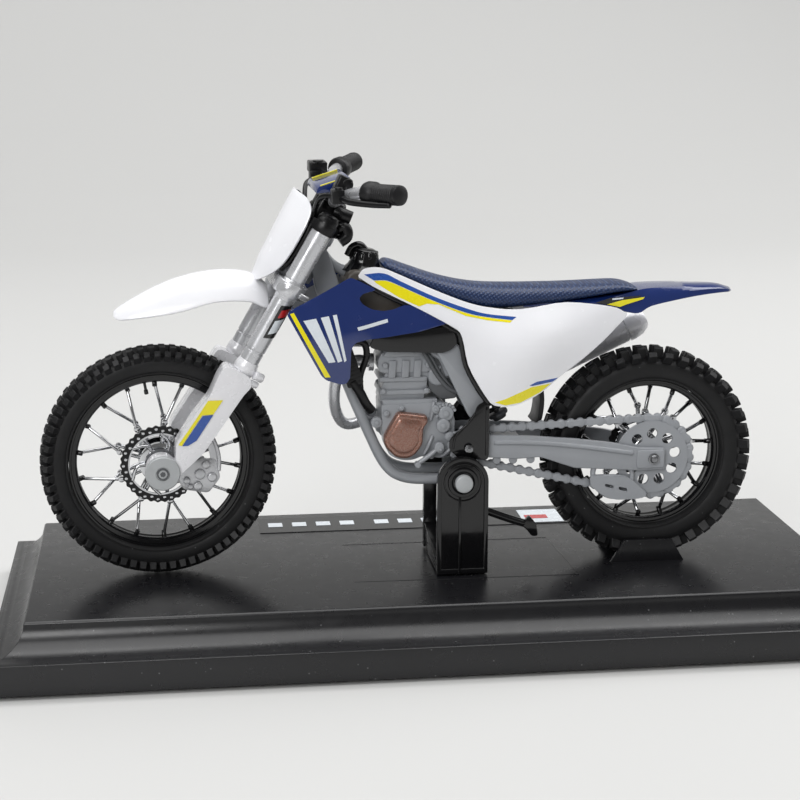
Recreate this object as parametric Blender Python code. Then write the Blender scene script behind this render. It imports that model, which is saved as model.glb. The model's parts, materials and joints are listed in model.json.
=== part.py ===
"""Scale-model motocross motorcycle on its display plinth.

Millimetres in the numbers below, metres in the scene. +X points to the motorcycle's rear, +Y to its
right-hand side, +Z up. Bike pieces are drawn in "bike coordinates": y is measured from the
motorcycle's own middle plane and z from the underside of the plinth's rim.
"""
import math

import bmesh
import bpy
from mathutils import Matrix, Quaternion, Vector

MM = 0.001

# ---- driving dimensions -----------------------------------------------------------------------
SCALE_OF_MODEL = 18                     # one to eighteen
WHEELBASE = 1495.0 / SCALE_OF_MODEL     # 83 mm
GAP = 0.3                               # clearance between pieces that touch

PLINTH_TOP_HALF = (67.8, 26.6)          # half length and half width of the top face
PLINTH_SPREAD = 5.8                     # the rim stands this far outside the top face
PLINTH_HEIGHT = 10.0
PLINTH_RIM = 4.9                        # height of the straight rim below the cove
FOOT_HEIGHT = 0.7
BIKE_OFFSET_Y = -4.25                   # the bike stands off the plinth's middle line

FRONT_AXLE = (-46.57, 29.75)            # x, z
REAR_AXLE = (FRONT_AXLE[0] + WHEELBASE, 28.6)
FRONT_TYRE_RADIUS = 19.45
REAR_TYRE_RADIUS = 18.3
FRONT_RIM_RADII = (13.4, 14.75)
REAR_RIM_RADII = (11.45, 12.6)

RAKE = math.radians(30.0)               # fork angle from the vertical
FORK_REFERENCE = (-25.7, 58.5)          # a point on the fork legs' middle plane
STEM_OFFSET = 1.8                       # steering axis behind the fork legs
LEG_Y = 6.1                             # fork leg from the middle plane
STEER_AT_REST = math.radians(4.5)       # the bars stand turned a little to the left

SWINGARM_PIVOT = (4.5, 31.6)
SHOCK_TOP = (6.9, 43.4)
SHOCK_BOTTOM = (11.5, 34.2)
KICKSTAND_PIVOT = (4.0, 21.9)
PEG = (3.4, 26.2)

SPOKES_PER_WHEEL = 18
ROUND = 40                              # sides of a large round piece
SMALL_ROUND = 20                        # sides of a small round piece


# ---- scene, materials and bodies --------------------------------------------------------------
def clear_scene():
    for item in list(bpy.data.objects):
        bpy.data.objects.remove(item, do_unlink=True)


def material(name, colour, roughness, metallic=0.0):
    made = bpy.data.materials.new(name)
    made.use_nodes = True
    shader = made.node_tree.nodes["Principled BSDF"]
    shader.inputs["Base Color"].default_value = (*colour, 1.0)
    shader.inputs["Roughness"].default_value = roughness
    shader.inputs["Metallic"].default_value = metallic
    made.diffuse_color = (*colour, 1.0)
    return made


class Body:
    """A moving group: an empty on the joint's axis, in bike coordinates."""

    def __init__(self, name, pivot, parent=None, turn=None):
        self.pivot = Vector(pivot)
        self.empty = bpy.data.objects.new(name, None)
        self.empty.empty_display_size = 0.002
        bpy.context.scene.collection.objects.link(self.empty)
        origin = Vector((0.0, 0.0, 0.0))
        if parent is not None:
            self.empty.parent = parent.empty
            origin = parent.pivot
        self.empty.location = (self.pivot - origin) * MM
        if turn is not None:
            self.empty.rotation_mode = "QUATERNION"
            self.empty.rotation_quaternion = turn


def place(obj, body, colour):
    """Parents an object drawn in bike coordinates to its body and gives it its material."""
    if obj.type == "CURVE":
        for spline in obj.data.splines:
            for point in spline.points:
                point.co = (*((Vector(point.co[:3]) - body.pivot) * MM), 1.0)
    else:
        obj.data.transform(Matrix.Scale(MM, 4) @ Matrix.Translation(-body.pivot))
    obj.parent = body.empty
    finish = colour.copy()
    finish.name = obj.name + " " + colour.name
    obj.data.materials.clear()
    obj.data.materials.append(finish)
    return obj


# ---- modelling tools (all in millimetres) -------------------------------------------------------
def object_from(name, bm, smooth=False):
    bmesh.ops.remove_doubles(bm, verts=bm.verts, dist=1e-5)
    bmesh.ops.recalc_face_normals(bm, faces=bm.faces)
    data = bpy.data.meshes.new(name)
    bm.to_mesh(data)
    bm.free()
    for face in data.polygons:
        face.use_smooth = smooth
    obj = bpy.data.objects.new(name, data)
    bpy.context.scene.collection.objects.link(obj)
    return obj


def extruded(name, ring, travel):
    """A closed ring of 3-D points pushed along a vector."""
    bm = bmesh.new()
    face = bm.faces.new([bm.verts.new(point) for point in ring])
    grown = bmesh.ops.extrude_face_region(bm, geom=[face])
    moved = [item for item in grown["geom"] if isinstance(item, bmesh.types.BMVert)]
    bmesh.ops.translate(bm, verts=moved, vec=travel)
    return object_from(name, bm)


def plate(name, outline, y0, y1):
    """An x, z outline pushed from y0 to y1."""
    return extruded(name, [(x, y0, z) for x, z in outline], (0.0, y1 - y0, 0.0))


def cylinder(name, start, end, radius, sides=SMALL_ROUND, end_radius=None):
    start = Vector(start)
    along = Vector(end) - start
    bm = bmesh.new()
    bmesh.ops.create_cone(
        bm, cap_ends=True, segments=sides, radius1=radius,
        radius2=radius if end_radius is None else end_radius, depth=along.length)
    turn = along.to_track_quat("Z", "Y").to_matrix().to_4x4()
    bm.transform(Matrix.Translation(start + along / 2) @ turn)
    return object_from(name, bm, smooth=True)


def revolved(name, centre, profile, sides=ROUND):
    """A closed r, y profile spun about the Y line through centre (x, z)."""
    bm = bmesh.new()
    hub = Vector((centre[0], 0.0, centre[1]))
    ring = [bm.verts.new(hub + Vector((r, y, 0.0))) for r, y in profile]
    edges = [bm.edges.new((a, b)) for a, b in zip(ring, ring[1:] + ring[:1])]
    bmesh.ops.spin(
        bm, geom=ring + edges, cent=hub, axis=(0.0, 1.0, 0.0), angle=math.tau, steps=sides,
        use_merge=True)
    return object_from(name, bm, smooth=True)


def disc(name, centre, radius, hole, y0, y1, sides=ROUND):
    """A flat round washer about a Y axis."""
    return revolved(name, centre, [(hole, y0), (radius, y0), (radius, y1), (hole, y1)], sides)


def arc(centre, radius, start, end, steps):
    """Points of a round stretch of an x, z outline, angles in degrees from +X toward +Z."""
    turns = [math.radians(start + (end - start) * k / steps) for k in range(steps + 1)]
    return [(centre[0] + radius * math.cos(a), centre[1] + radius * math.sin(a)) for a in turns]


def smooth_route(points, per_stretch=4):
    """A Catmull-Rom curve read at even steps through the route's own points."""
    knots = [Vector(point) for point in points]
    knots = [2 * knots[0] - knots[1]] + knots + [2 * knots[-1] - knots[-2]]
    route = []
    for a, b, c, d in zip(knots, knots[1:], knots[2:], knots[3:]):
        for k in range(per_stretch):
            t = k / per_stretch
            route.append(
                0.5 * (2 * b + (c - a) * t + (2 * a - 5 * b + 4 * c - d) * t ** 2
                       + (3 * b - a - 3 * c + d) * t ** 3))
    route.append(knots[-2])
    return route


def tube(name, points, radius, resolution=2, per_stretch=4):
    """A bevelled POLY curve with filled caps along a smooth route."""
    route = smooth_route(points, per_stretch)
    data = bpy.data.curves.new(name, "CURVE")
    data.dimensions = "3D"
    data.bevel_depth = radius * MM
    data.bevel_resolution = resolution
    data.use_fill_caps = True
    spline = data.splines.new("POLY")
    spline.points.add(len(route) - 1)
    for point, place_at in zip(spline.points, route):
        point.co = (*place_at, 1.0)
    obj = bpy.data.objects.new(name, data)
    bpy.context.scene.collection.objects.link(obj)
    return obj


def tube_mesh(name, points, radius, resolution=2, per_stretch=4):
    """The same tube as a mesh, for pieces that are joined or cut."""
    curve = tube(name + "_route", points, radius, resolution, per_stretch)
    curve.data.bevel_depth = radius
    bpy.context.view_layer.update()
    evaluated = curve.evaluated_get(bpy.context.evaluated_depsgraph_get())
    data = bpy.data.meshes.new_from_object(evaluated)
    bpy.data.objects.remove(curve, do_unlink=True)
    data.name = name
    obj = bpy.data.objects.new(name, data)
    bpy.context.scene.collection.objects.link(obj)
    return obj


def surface(name, rows, thickness, outward):
    """A sheet through rows of 3-D points, thickened toward `outward`."""
    bm = bmesh.new()
    grid = [[bm.verts.new(point) for point in row] for row in rows]
    faces = []
    for low, high in zip(grid, grid[1:]):
        for k in range(len(low) - 1):
            faces.append(bm.faces.new((low[k], low[k + 1], high[k + 1], high[k])))
    bmesh.ops.triangulate(bm, faces=faces)
    grown = bmesh.ops.extrude_face_region(bm, geom=list(bm.faces))
    moved = [item for item in grown["geom"] if isinstance(item, bmesh.types.BMVert)]
    bmesh.ops.translate(bm, verts=moved, vec=Vector(outward) * thickness)
    return object_from(name, bm)


def change(obj, tool, operation):
    """A Boolean modifier with a hidden cutter or adder."""
    modifier = obj.modifiers.new(operation.lower(), "BOOLEAN")
    modifier.operation = operation
    modifier.solver = "EXACT"
    modifier.object = tool
    tool.hide_render = True
    tool.display_type = "WIRE"


def bevelled(obj, width, segments=1):
    modifier = obj.modifiers.new("edges", "BEVEL")
    modifier.width = width * MM
    modifier.segments = segments
    modifier.limit_method = "ANGLE"
    modifier.angle_limit = math.radians(40)


def build(body, colour, obj, add=(), cut=(), edges=0.0):
    """Places an object with the pieces joined to it and cut from it."""
    place(obj, body, colour)
    for tool in add:
        place(tool, body, colour)
        change(obj, tool, "UNION")
    for tool in cut:
        place(tool, body, colour)
        change(obj, tool, "DIFFERENCE")
    if edges:
        bevelled(obj, edges)
    return obj


def mirrored(points):
    return [(x, -y, z) for x, y, z in points]


def fork_point(t, u, y):
    """t runs up along the fork, u rearward across it, from the fork reference point."""
    return Vector((
        FORK_REFERENCE[0] + t * math.sin(RAKE) + u * math.cos(RAKE), y,
        FORK_REFERENCE[1] + t * math.cos(RAKE) - u * math.sin(RAKE)))


def fork_slab(name, t0, t1, outline):
    """A u, y outline squared to the fork, from t0 up to t1."""
    ring = [fork_point(t0, u, y) for u, y in outline]
    return extruded(name, ring, fork_point(t1, 0, 0) - fork_point(t0, 0, 0))


def fork_cylinder(name, t0, t1, u, y, radius, sides=SMALL_ROUND):
    return cylinder(name, fork_point(t0, u, y), fork_point(t1, u, y), radius, sides)


def cross_cylinder(name, centre, radius, y0, y1, sides=SMALL_ROUND):
    return cylinder(name, (centre[0], y0, centre[1]), (centre[0], y1, centre[1]), radius, sides)


# ---- display base -------------------------------------------------------------------------------
def wheel_chocks():
    """Two upright plates moulded on the plinth, one on each side of the rear tyre."""
    outline = [(29.7, PLINTH_HEIGHT - 0.5), (43.1, PLINTH_HEIGHT - 0.5), (40.6, 13.8), (32.2, 13.8)]
    chocks = []
    for side in (-1, 1):
        near, far = BIKE_OFFSET_Y + side * 3.9, BIKE_OFFSET_Y + side * 4.7
        chocks.append(plate("chock_adder", outline, near, far))
    return chocks


def make_plinth(body, colour):
    """A coved box on four small feet."""
    levels = [(PLINTH_SPREAD, 0.0), (PLINTH_SPREAD, PLINTH_RIM), (PLINTH_SPREAD - 0.6, PLINTH_RIM + 0.2)]
    cove = PLINTH_SPREAD - 0.9
    rise = PLINTH_HEIGHT - 0.3 - PLINTH_RIM - 0.2
    for k in range(1, 6):
        turn = math.radians(90 * k / 5)
        levels.append((cove * (1 - math.sin(turn)) + 0.3, PLINTH_RIM + 0.2 + rise * (1 - math.cos(turn))))
    levels.append((0.0, PLINTH_HEIGHT))
    bm = bmesh.new()
    rings = []
    for spread, z in levels:
        half = (PLINTH_TOP_HALF[0] + spread, PLINTH_TOP_HALF[1] + spread)
        corners = [(-half[0], -half[1]), (half[0], -half[1]), (half[0], half[1]), (-half[0], half[1])]
        rings.append([bm.verts.new((x, y, z)) for x, y in corners])
    for low, high in zip(rings, rings[1:]):
        for k in range(4):
            bm.faces.new((low[k], low[(k + 1) % 4], high[(k + 1) % 4], high[k]))
    bm.faces.new(rings[0])
    bm.faces.new(rings[-1])
    plinth = object_from("plinth", bm)
    feet = []
    for side_x in (-1, 1):
        for side_y in (-1, 1):
            x = side_x * (PLINTH_TOP_HALF[0] + PLINTH_SPREAD - 8.0)
            y = side_y * (PLINTH_TOP_HALF[1] + PLINTH_SPREAD - 6.0)
            ring = [(x + a, y + b, -FOOT_HEIGHT) for a, b in ((-5, -3), (5, -3), (5, 3), (-5, 3))]
            feet.append(extruded("foot_adder", ring, (0.0, 0.0, FOOT_HEIGHT + 1.0)))
    build(body, colour, plinth, add=feet + wheel_chocks())


BRACKET_HALF_WIDTH = 4.3
BRACKET_INSIDE = 7.2
BRACKET_OUTSIDE = 8.6


def make_bracket(body, colour):
    """The fork-shaped clip that holds the motorcycle upright, with a sloping floor."""
    bottom = PLINTH_HEIGHT + GAP
    top = PEG[1] + BRACKET_HALF_WIDTH
    profile = [
        (-BRACKET_OUTSIDE, bottom), (BRACKET_OUTSIDE, bottom), (BRACKET_OUTSIDE, top + 1),
        (BRACKET_INSIDE, top + 1), (BRACKET_INSIDE, bottom + 4.6), (-BRACKET_INSIDE, bottom + 1.4),
        (-BRACKET_INSIDE, top + 1), (-BRACKET_OUTSIDE, top + 1)]
    start = PEG[0] - BRACKET_HALF_WIDTH
    clip = extruded(
        "stand_bracket", [(start, y, z) for y, z in profile], (2 * BRACKET_HALF_WIDTH, 0.0, 0.0))
    outline = [(start - 0.01, bottom - 1), (start + 2 * BRACKET_HALF_WIDTH + 0.01, bottom - 1)]
    outline += arc(PEG, BRACKET_HALF_WIDTH + 0.01, 0, 180, 12)
    keeper = plate("bracket_outline", outline, -12.0, 12.0)
    place(clip, body, colour)
    place(keeper, body, colour)
    change(clip, keeper, "INTERSECT")
    for side in (-1, 1):
        rib = plate(
            "rib_adder", [(PEG[0] - 0.9, bottom), (PEG[0] - 0.3, bottom), (PEG[0] - 0.3, 24.4),
                          (PEG[0] - 0.9, 24.4)],
            side * (BRACKET_OUTSIDE - 0.2), side * (BRACKET_OUTSIDE + 0.35))
        place(rib, body, colour)
        change(clip, rib, "UNION")
    hole = cross_cylinder("peg_hole", PEG, 1.5, -13.0, 13.0)
    place(hole, body, colour)
    change(clip, hole, "DIFFERENCE")


def make_pegs(body, colour):
    for side, word in ((-1, "left"), (1, "right")):
        shank = cross_cylinder("stand_peg_" + word, PEG, 1.2, side * 4.9, side * (BRACKET_OUTSIDE + 0.6))
        head = cross_cylinder(
            "head_adder", PEG, 1.5, side * (BRACKET_OUTSIDE + GAP), side * (BRACKET_OUTSIDE + 0.9))
        build(body, colour, shank, add=[head])


# ---- frame and engine ---------------------------------------------------------------------------
def make_frame(body, colour):
    """Head tube, central beam, two spars, two cradle tubes and their cross tubes."""
    head = fork_cylinder("frame", 2.3, 10.9, STEM_OFFSET, 0.0, 1.9)
    beam = plate("beam_adder", [
        (-21.4, 61.2), (-19.7, 65.0), (-18.2, 64.4), (-14.2, 52.0), (-14.2, 48.8), (-16.8, 48.8),
        (-20.2, 57.4)],
        -1.3, 1.3)
    adders = [beam, cross_cylinder("front_cross", (-15.4, 50.3), 1.1, -5.2, 5.2)]
    for side in (-1, 1):
        adders.append(plate("spar_adder", [
            (-16.5, 51.9), (-1.2, 50.6), (2.6, 49.4), (7.6, 38.8), (7.6, 36.2), (5.0, 36.2),
            (-0.9, 47.4), (-15.5, 48.4)], side * 4.2, side * 5.4))
        adders.append(tube_mesh("cradle_adder", [
            (-16.4, side * 1.9, 50.6), (-15.5, side * 2.6, 43.5), (-12.2, side * 3.1, 35.0),
            (-9.0, side * 3.3, 28.4), (-5.6, side * 3.5, 26.1), (0.0, side * 3.5, 25.7),
            (5.6, side * 3.5, 25.9)], 0.85))
    adders.append(cross_cylinder("rear_cross", (4.9, 25.9), 0.8, -3.7, 3.7))
    adders.append(cross_cylinder("shock_cross", SHOCK_TOP, 0.75, -5.0, 5.0))
    adders.append(plate("shock_lug", [(3.6, 42.4), (4.2, 44.4), (7.4, 43.9), (7.2, 42.8)], -5.2, -4.4))
    adders.append(plate("shock_lug", [(3.6, 42.4), (4.2, 44.4), (7.4, 43.9), (7.2, 42.8)], 4.4, 5.2))
    adders.append(plate("stand_lug", [(2.8, 21.0), (5.2, 21.0), (5.4, 25.8), (2.6, 25.8)], -4.1, -3.0))
    bore = fork_cylinder("stem_bore", 1.0, 12.0, STEM_OFFSET, 0.0, 1.2)
    build(body, colour, head, add=adders, cut=[bore])


def make_side_plates(body, colour):
    outline = [(3.0, 29.6), (7.6, 29.6), (8.0, 30.2), (8.0, 38.6), (7.4, 39.6), (5.4, 39.6), (3.2, 34.8)]
    for side, word in ((-1, "left"), (1, "right")):
        build(body, colour, plate("side_plate_" + word, outline, side * 6.4, side * 6.9), cut=[
            cross_cylinder("pivot_hole", SWINGARM_PIVOT, 0.8, side * 6.0, side * 7.4)])


def make_pivot_bolt(body, colour):
    shank = cross_cylinder("swingarm_pivot_bolt", SWINGARM_PIVOT, 0.5, -7.4, 7.4)
    heads = [cross_cylinder("bolt_head", SWINGARM_PIVOT, 0.85, side * 7.2, side * 7.6) for side in (-1, 1)]
    build(body, colour, shank, add=heads)


CRANK = (-5.4, 34.0)


def make_engine(body, colours):
    case = [(-9.6, 34.5), (-8.8, 31.6)] + arc(CRANK, 4.8, 228, 300, 6)
    case += [(0.9, 29.4), (1.0, 36.6), (-0.6, 38.9), (-9.8, 38.9)]
    cover = arc((-5.9, 34.1), 3.9, -150, 100, 12) + [(-8.6, 37.6), (-9.6, 35.8), (-9.7, 32.4)]
    clutch_side = plate("clutch_adder", cover, 3.8, 6.2)
    build(body, colours["grey"], plate("crankcase", case, -4.0, 4.0), add=[clutch_side])
    barrel = [(-9.9, 39.2), (-2.6, 39.2), (-1.6, 44.4), (-8.9, 44.4)]
    head = [(-10.2, 44.1), (-1.2, 44.1), (-1.0, 46.4), (-2.4, 48.1), (-8.8, 48.3), (-10.3, 46.6)]
    build(body, colours["grey"], plate("cylinder", barrel, -3.4, 3.4), add=[
        plate("head_adder", head, -3.7, 3.7)])
    build(body, colours["bronze"], plate("ignition_cover", cover, -4.3, -6.2), edges=0.5)


def make_shift_lever(body, colour):
    boss = cross_cylinder("shift_lever", (-0.2, 31.6), 0.85, -4.3, -5.5)
    arm = plate("arm_adder", [(-0.8, 32.0), (-0.4, 31.0), (-3.6, 28.4), (-4.2, 29.0)], -5.4, -4.7)
    build(body, colour, boss, add=[arm])


def make_cooling(body, colours):
    outline = [(-18.6, 51.2), (-16.0, 52.2), (-13.0, 43.4), (-15.6, 42.4)]
    hose = [(-14.9, -6.9, 43.6), (-13.6, -6.6, 41.6), (-12.6, -6.0, 39.6), (-11.6, -5.2, 38.2)]
    for side, word in ((-1, "left"), (1, "right")):
        hoses = [tube_mesh("hose_adder", hose, 0.8)] if side < 0 else []
        build(body, colours["black"], plate("radiator_" + word, outline, side * 5.7, side * 7.6), add=hoses)


def make_exhaust(body, colour):
    header = [
        (-10.8, 0.3, 45.2), (-14.4, 0.3, 45.4), (-17.6, 0.6, 42.6), (-17.4, 2.4, 37.4), (-14.8, 5.0, 34.0),
        (-10.2, 7.4, 34.0), (-4.0, 7.9, 36.4), (2.6, 7.6, 40.4), (8.2, 6.8, 41.2), (13.3, 6.6, 38.8)]
    place(tube("exhaust_header", header, 0.95, 3), body, colour)


SILENCER = ((14.6, 38.9), (36.8, 49.2))


def make_silencer(body, colours):
    (x0, z0), (x1, z1) = SILENCER
    can = cylinder("silencer", (x0, 6.6, z0), (x1, 6.9, z1), 1.4, 24, end_radius=2.6)
    build(body, colours["silver"], can, cut=[
        cylinder("tip_bore", (x1 - 1.6, 6.9, z1 - 0.8), (x1 + 1.8, 6.9, z1 + 0.9), 1.3)])


def make_airbox(body, colour):
    outline = [
        (-12.4, 49.9), (-11.4, 52.3), (1.4, 52.3), (3.4, 55.6), (10.6, 54.2), (13.2, 54.0), (13.2, 45.6),
        (8.6, 45.2), (3.0, 48.7), (-9.0, 48.7)]
    build(body, colour, plate("airbox", outline, -3.8, 3.8))


# ---- bodywork -----------------------------------------------------------------------------------
def make_tank(body, colours):
    outline = [
        (-13.4, 52.7), (-16.0, 58.4), (-15.2, 61.4), (-8.8, 61.2), (-6.8, 59.4), (-4.4, 56.0),
        (-4.4, 52.7)]
    build(body, colours["dark"], plate("fuel_tank", outline, -4.5, 4.5), edges=0.6)
    cap = [(-15.4, 61.7), (-14.4, 64.4), (-12.6, 65.3), (-11.0, 64.4), (-10.4, 63.2), (-10.4, 61.5)]
    build(body, colours["black"], plate("tank_cap", cap, -2.2, 2.2), edges=0.5)


def edge_surface(name, side, upper, lower, thickness, bulge, steps=3):
    """A body panel between an upper and a lower edge, bulging outward between them."""
    rows = []
    for k in range(steps + 1):
        t = k / steps
        lift = bulge * math.sin(math.pi * t)
        rows.append([
            (a[0] * (1 - t) + b[0] * t, side * (a[1] * (1 - t) + b[1] * t + lift),
             a[2] * (1 - t) + b[2] * t) for a, b in zip(upper, lower)])
    return surface(name, rows, thickness, (0.0, -side, 0.0))


SHROUD_UPPER = [
    (-25.4, 9.2, 55.9), (-20.0, 8.6, 58.4), (-14.9, 7.6, 60.7), (-13.9, 7.6, 57.6), (-9.5, 7.1, 55.9),
    (-4.4, 6.7, 55.0), (-0.6, 6.4, 53.3)]
SHROUD_LOWER = [
    (-18.9, 9.4, 43.6), (-17.2, 9.3, 43.8), (-15.6, 9.2, 44.1), (-15.2, 9.2, 50.0), (-11.7, 8.6, 50.7),
    (-6.0, 7.5, 51.7), (-0.8, 6.5, 52.6)]
PANEL_UPPER = [
    (-10.8, 5.5, 60.1), (-3.0, 5.3, 58.8), (3.0, 5.2, 57.8), (6.5, 5.2, 57.2), (10.5, 5.2, 56.7),
    (17.0, 5.2, 56.2), (24.0, 5.2, 55.8), (31.4, 5.2, 54.8)]
PANEL_LOWER = [
    (-10.4, 5.7, 59.5), (-3.6, 6.2, 55.9), (3.0, 6.8, 51.9), (5.8, 7.2, 43.9), (9.8, 7.3, 38.4),
    (17.6, 7.2, 42.3), (23.3, 6.9, 46.6), (31.0, 5.6, 54.0)]
RIGHT_PANEL_SPREAD = 2.2                # the right panel stands out over the silencer


def make_panels(body, colours):
    for side, word in ((-1, "left"), (1, "right")):
        build(body, colours["blue"], edge_surface(
            "shroud_" + word, side, SHROUD_UPPER, SHROUD_LOWER, 0.7, 0.3))
    build(body, colours["white"], edge_surface(
        "side_panel_left", -1, PANEL_UPPER, PANEL_LOWER, 0.7, 0.5))
    spread = [(x, y + RIGHT_PANEL_SPREAD * min(1.0, max(0.0, (x - 3.0) / 8.0)), z) for x, y, z in PANEL_LOWER]
    build(body, colours["white"], edge_surface(
        "side_panel_right", 1, PANEL_UPPER, spread, 0.7, 0.9))


def make_seat(body, colour):
    outline = [
        (-9.7, 62.8), (-7.0, 62.3), (0.0, 60.7), (7.0, 59.2), (18.0, 58.7), (30.0, 58.9), (33.4, 57.9),
        (33.4, 56.8), (18.0, 56.6), (6.0, 57.2), (-3.0, 59.4), (-5.8, 60.4), (-8.2, 61.7), (-9.6, 61.8)]
    build(body, colour, plate("seat", outline, -4.0, 4.0), edges=0.5)


def make_rear_fender(body, colour):
    """A shallow tray: level under the seat, then the tail."""
    stations = [
        (13.8, 4.2, 56.0, 54.6), (24.0, 4.3, 56.0, 54.3), (33.3, 4.4, 56.2, 54.2), (34.6, 4.3, 58.0, 55.2),
        (40.0, 3.8, 58.1, 55.9), (46.0, 3.1, 57.8, 56.3), (50.3, 1.8, 56.8, 56.2)]
    bm = bmesh.new()
    rings = []
    for x, half, high, low in stations:
        shoulder = (half * 0.92, high - 0.35)
        corners = [(-half, low), (half, low), shoulder, (0.0, high), (-shoulder[0], shoulder[1])]
        rings.append([bm.verts.new((x, y, z)) for y, z in corners])
    for near, far in zip(rings, rings[1:]):
        for k in range(5):
            bm.faces.new((near[k], near[(k + 1) % 5], far[(k + 1) % 5], far[k]))
    bm.faces.new(rings[0])
    bm.faces.new(rings[-1])
    build(body, colour, object_from("rear_fender", bm))


def make_mud_flap(body, colour):
    outline = [(16.9, 41.6), (17.7, 41.4), (17.2, 35.0), (16.4, 35.0)]
    build(body, colour, plate("mud_flap", outline, -3.6, 3.6))


# ---- steering -----------------------------------------------------------------------------------
def make_clamps(body, colours):
    half = [(3.4, 4.0), (1.4, 8.0), (-0.2, 8.05), (-1.5, 7.4), (-2.3, 6.2)]
    outline = [(u, -y) for u, y in reversed(half)] + half
    lower = fork_slab("lower_clamp", -0.8, 2.0, outline)
    stem = fork_cylinder("stem_adder", 1.0, 11.6, STEM_OFFSET, 0.0, 0.85)
    holes = [fork_cylinder("leg_hole", -3, 4, 0.0, side * LEG_Y, 1.65) for side in (-1, 1)]
    build(body, colours["silver"], lower, add=[stem], cut=holes)
    upper = fork_slab("upper_clamp", 11.2, 12.9, outline)
    mount = fork_slab("mount_adder", 12.6, 16.6, [(-2.2, -3.6), (2.0, -3.6), (2.0, 3.6), (-2.2, 3.6)])
    holes = [fork_cylinder("leg_hole", 8, 15, 0.0, side * LEG_Y, 1.65) for side in (-1, 1)]
    holes.append(fork_cylinder("stem_hole", 8, 12.2, STEM_OFFSET, 0.0, 1.15))
    across = Vector((0, 9, 0))
    holes.append(cylinder("bar_hole", BAR_ROUTE[0] - across, BAR_ROUTE[0] + across, 1.35))
    build(body, colours["black"], upper, add=[mount], cut=holes)


BAR_ROUTE = [Vector(point) for point in (
    (-17.7, 0.0, 72.8), (-17.6, -3.4, 72.8), (-16.6, -7.6, 74.1), (-14.6, -13.4, 75.5), (-9.7, -21.0, 76.1))]


def bar_points():
    """The handlebar's route from the left end to the right end."""
    left = [tuple(point) for point in reversed(BAR_ROUTE)]
    return left + mirrored(left[:-1])[::-1]


def make_bars(body, colours):
    place(tube("handlebar", bar_points(), 1.0, 3), body, colours["silver"])
    inner = BAR_ROUTE[3].lerp(BAR_ROUTE[4], 0.08)
    outer = BAR_ROUTE[4] + (BAR_ROUTE[4] - BAR_ROUTE[3]).normalized() * 0.6
    for side, word in ((1, "left"), (-1, "right")):
        ends = [Vector((p.x, side * p.y, p.z)) for p in (inner, outer)]
        grip = cylinder("grip_" + word, ends[0], ends[1], 1.75)
        along = ends[1] - ends[0]
        bore = cylinder("grip_bore", ends[0] - along * 0.3, ends[1] - along * 0.06, 1.3)
        build(body, colours["rubber"], grip, cut=[bore])
    lever = [(-18.2, -12.2, 74.6), (-17.6, -14.4, 74.4), (-14.8, -18.0, 74.2), (-12.2, -21.2, 74.1)]
    for side, word in ((1, "clutch"), (-1, "brake")):
        points = [(x, side * y, z) for x, y, z in lever]
        reach = tube_mesh(word + "_lever", points, 0.5)
        block = plate("perch_adder", [(-19.6, 73.6), (-17.4, 73.6), (-17.3, 76.0), (-19.4, 76.0)],
                      -side * 10.0, -side * (12.6 if side > 0 else 14.4))
        build(body, colours["black"], reach, add=[block])


def make_bar_pad(body, colour):
    outline = [(-20.8, 74.3), (-20.5, 75.3), (-15.3, 76.9), (-15.1, 75.7), (-17.6, 74.6)]
    build(body, colour, plate("bar_pad", outline, -5.0, 5.0), edges=0.2)


def make_number_plate(body, colour):
    """A shield bent around the fork: t, u at the middle, half width, u at the edges."""
    rows = []
    for t, front, half, edge in ((0.4, -5.6, 3.0, -4.6), (5.0, -6.0, 5.2, -2.7), (9.5, -6.4, 5.8, -2.9),
                                 (13.2, -6.7, 5.2, -3.3), (14.9, -6.8, 3.4, -5.2)):
        rows.append([
            fork_point(t, front + (edge - front) * (k / 3) ** 2, half * k / 3) for k in range(-3, 4)])
    build(body, colour, surface("number_plate", rows, 0.6, (math.cos(RAKE), 0.0, -math.sin(RAKE))))


def make_front_fender(body, colour):
    rows = []
    for x, top, half, edge in ((-53.3, 55.2, 1.6, 54.4), (-50.5, 57.0, 3.0, 54.6), (-46.6, 59.0, 4.3, 55.1),
                               (-42.6, 60.5, 4.8, 55.7), (-38.0, 61.4, 5.0, 57.2), (-34.4, 61.5, 4.8, 57.4),
                               (-31.2, 61.1, 4.3, 57.0)):
        rows.append([(x, half * k / 3, top - (top - edge) * abs(k / 3) ** 2.2) for k in range(-3, 4)])
    build(body, colour, surface("front_fender", rows, 0.6, (0.0, 0.0, -1.0)))


def make_fork_tubes(body, colour):
    for side, word in ((-1, "left"), (1, "right")):
        build(body, colour, fork_cylinder("fork_tube_" + word, -16.8, 13.6, 0.0, side * LEG_Y, 1.35))


# ---- fork lowers and front wheel ----------------------------------------------------------------
def make_fork_legs(body, colours):
    outline = [
        (-36.0, 47.6), (-31.2, 45.1), (-31.3, 43.4), (-32.6, 42.2), (-36.9, 36.6), (-40.2, 32.6)]
    outline += arc(FRONT_AXLE, 2.6, -10, -330, 18)[1:]
    outline += [(-44.2, 34.6), (-41.3, 39.2), (-38.4, 42.8), (-36.9, 45.9)]
    for side, word in ((-1, "left"), (1, "right")):
        leg = plate("fork_leg_" + word, outline, side * 4.1, side * 8.1)
        build(body, colours["silver"], leg, cut=[
            fork_cylinder("tube_bore", -20.0, -10.0, 0.0, side * LEG_Y, 1.65),
            cross_cylinder("axle_hole", FRONT_AXLE, 1.05, side * 3.0, side * 9.0)])
    build(body, colours["steel"], cross_cylinder("front_axle", FRONT_AXLE, 0.75, -8.0, 8.0))
    caliper = [(-43.4, 30.2), (-37.6, 30.6), (-36.8, 27.2), (-38.8, 24.6), (-43.0, 25.4), (-44.0, 27.6)]
    build(body, colours["silver"], plate("front_caliper", caliper, -3.8, -3.3))


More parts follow.
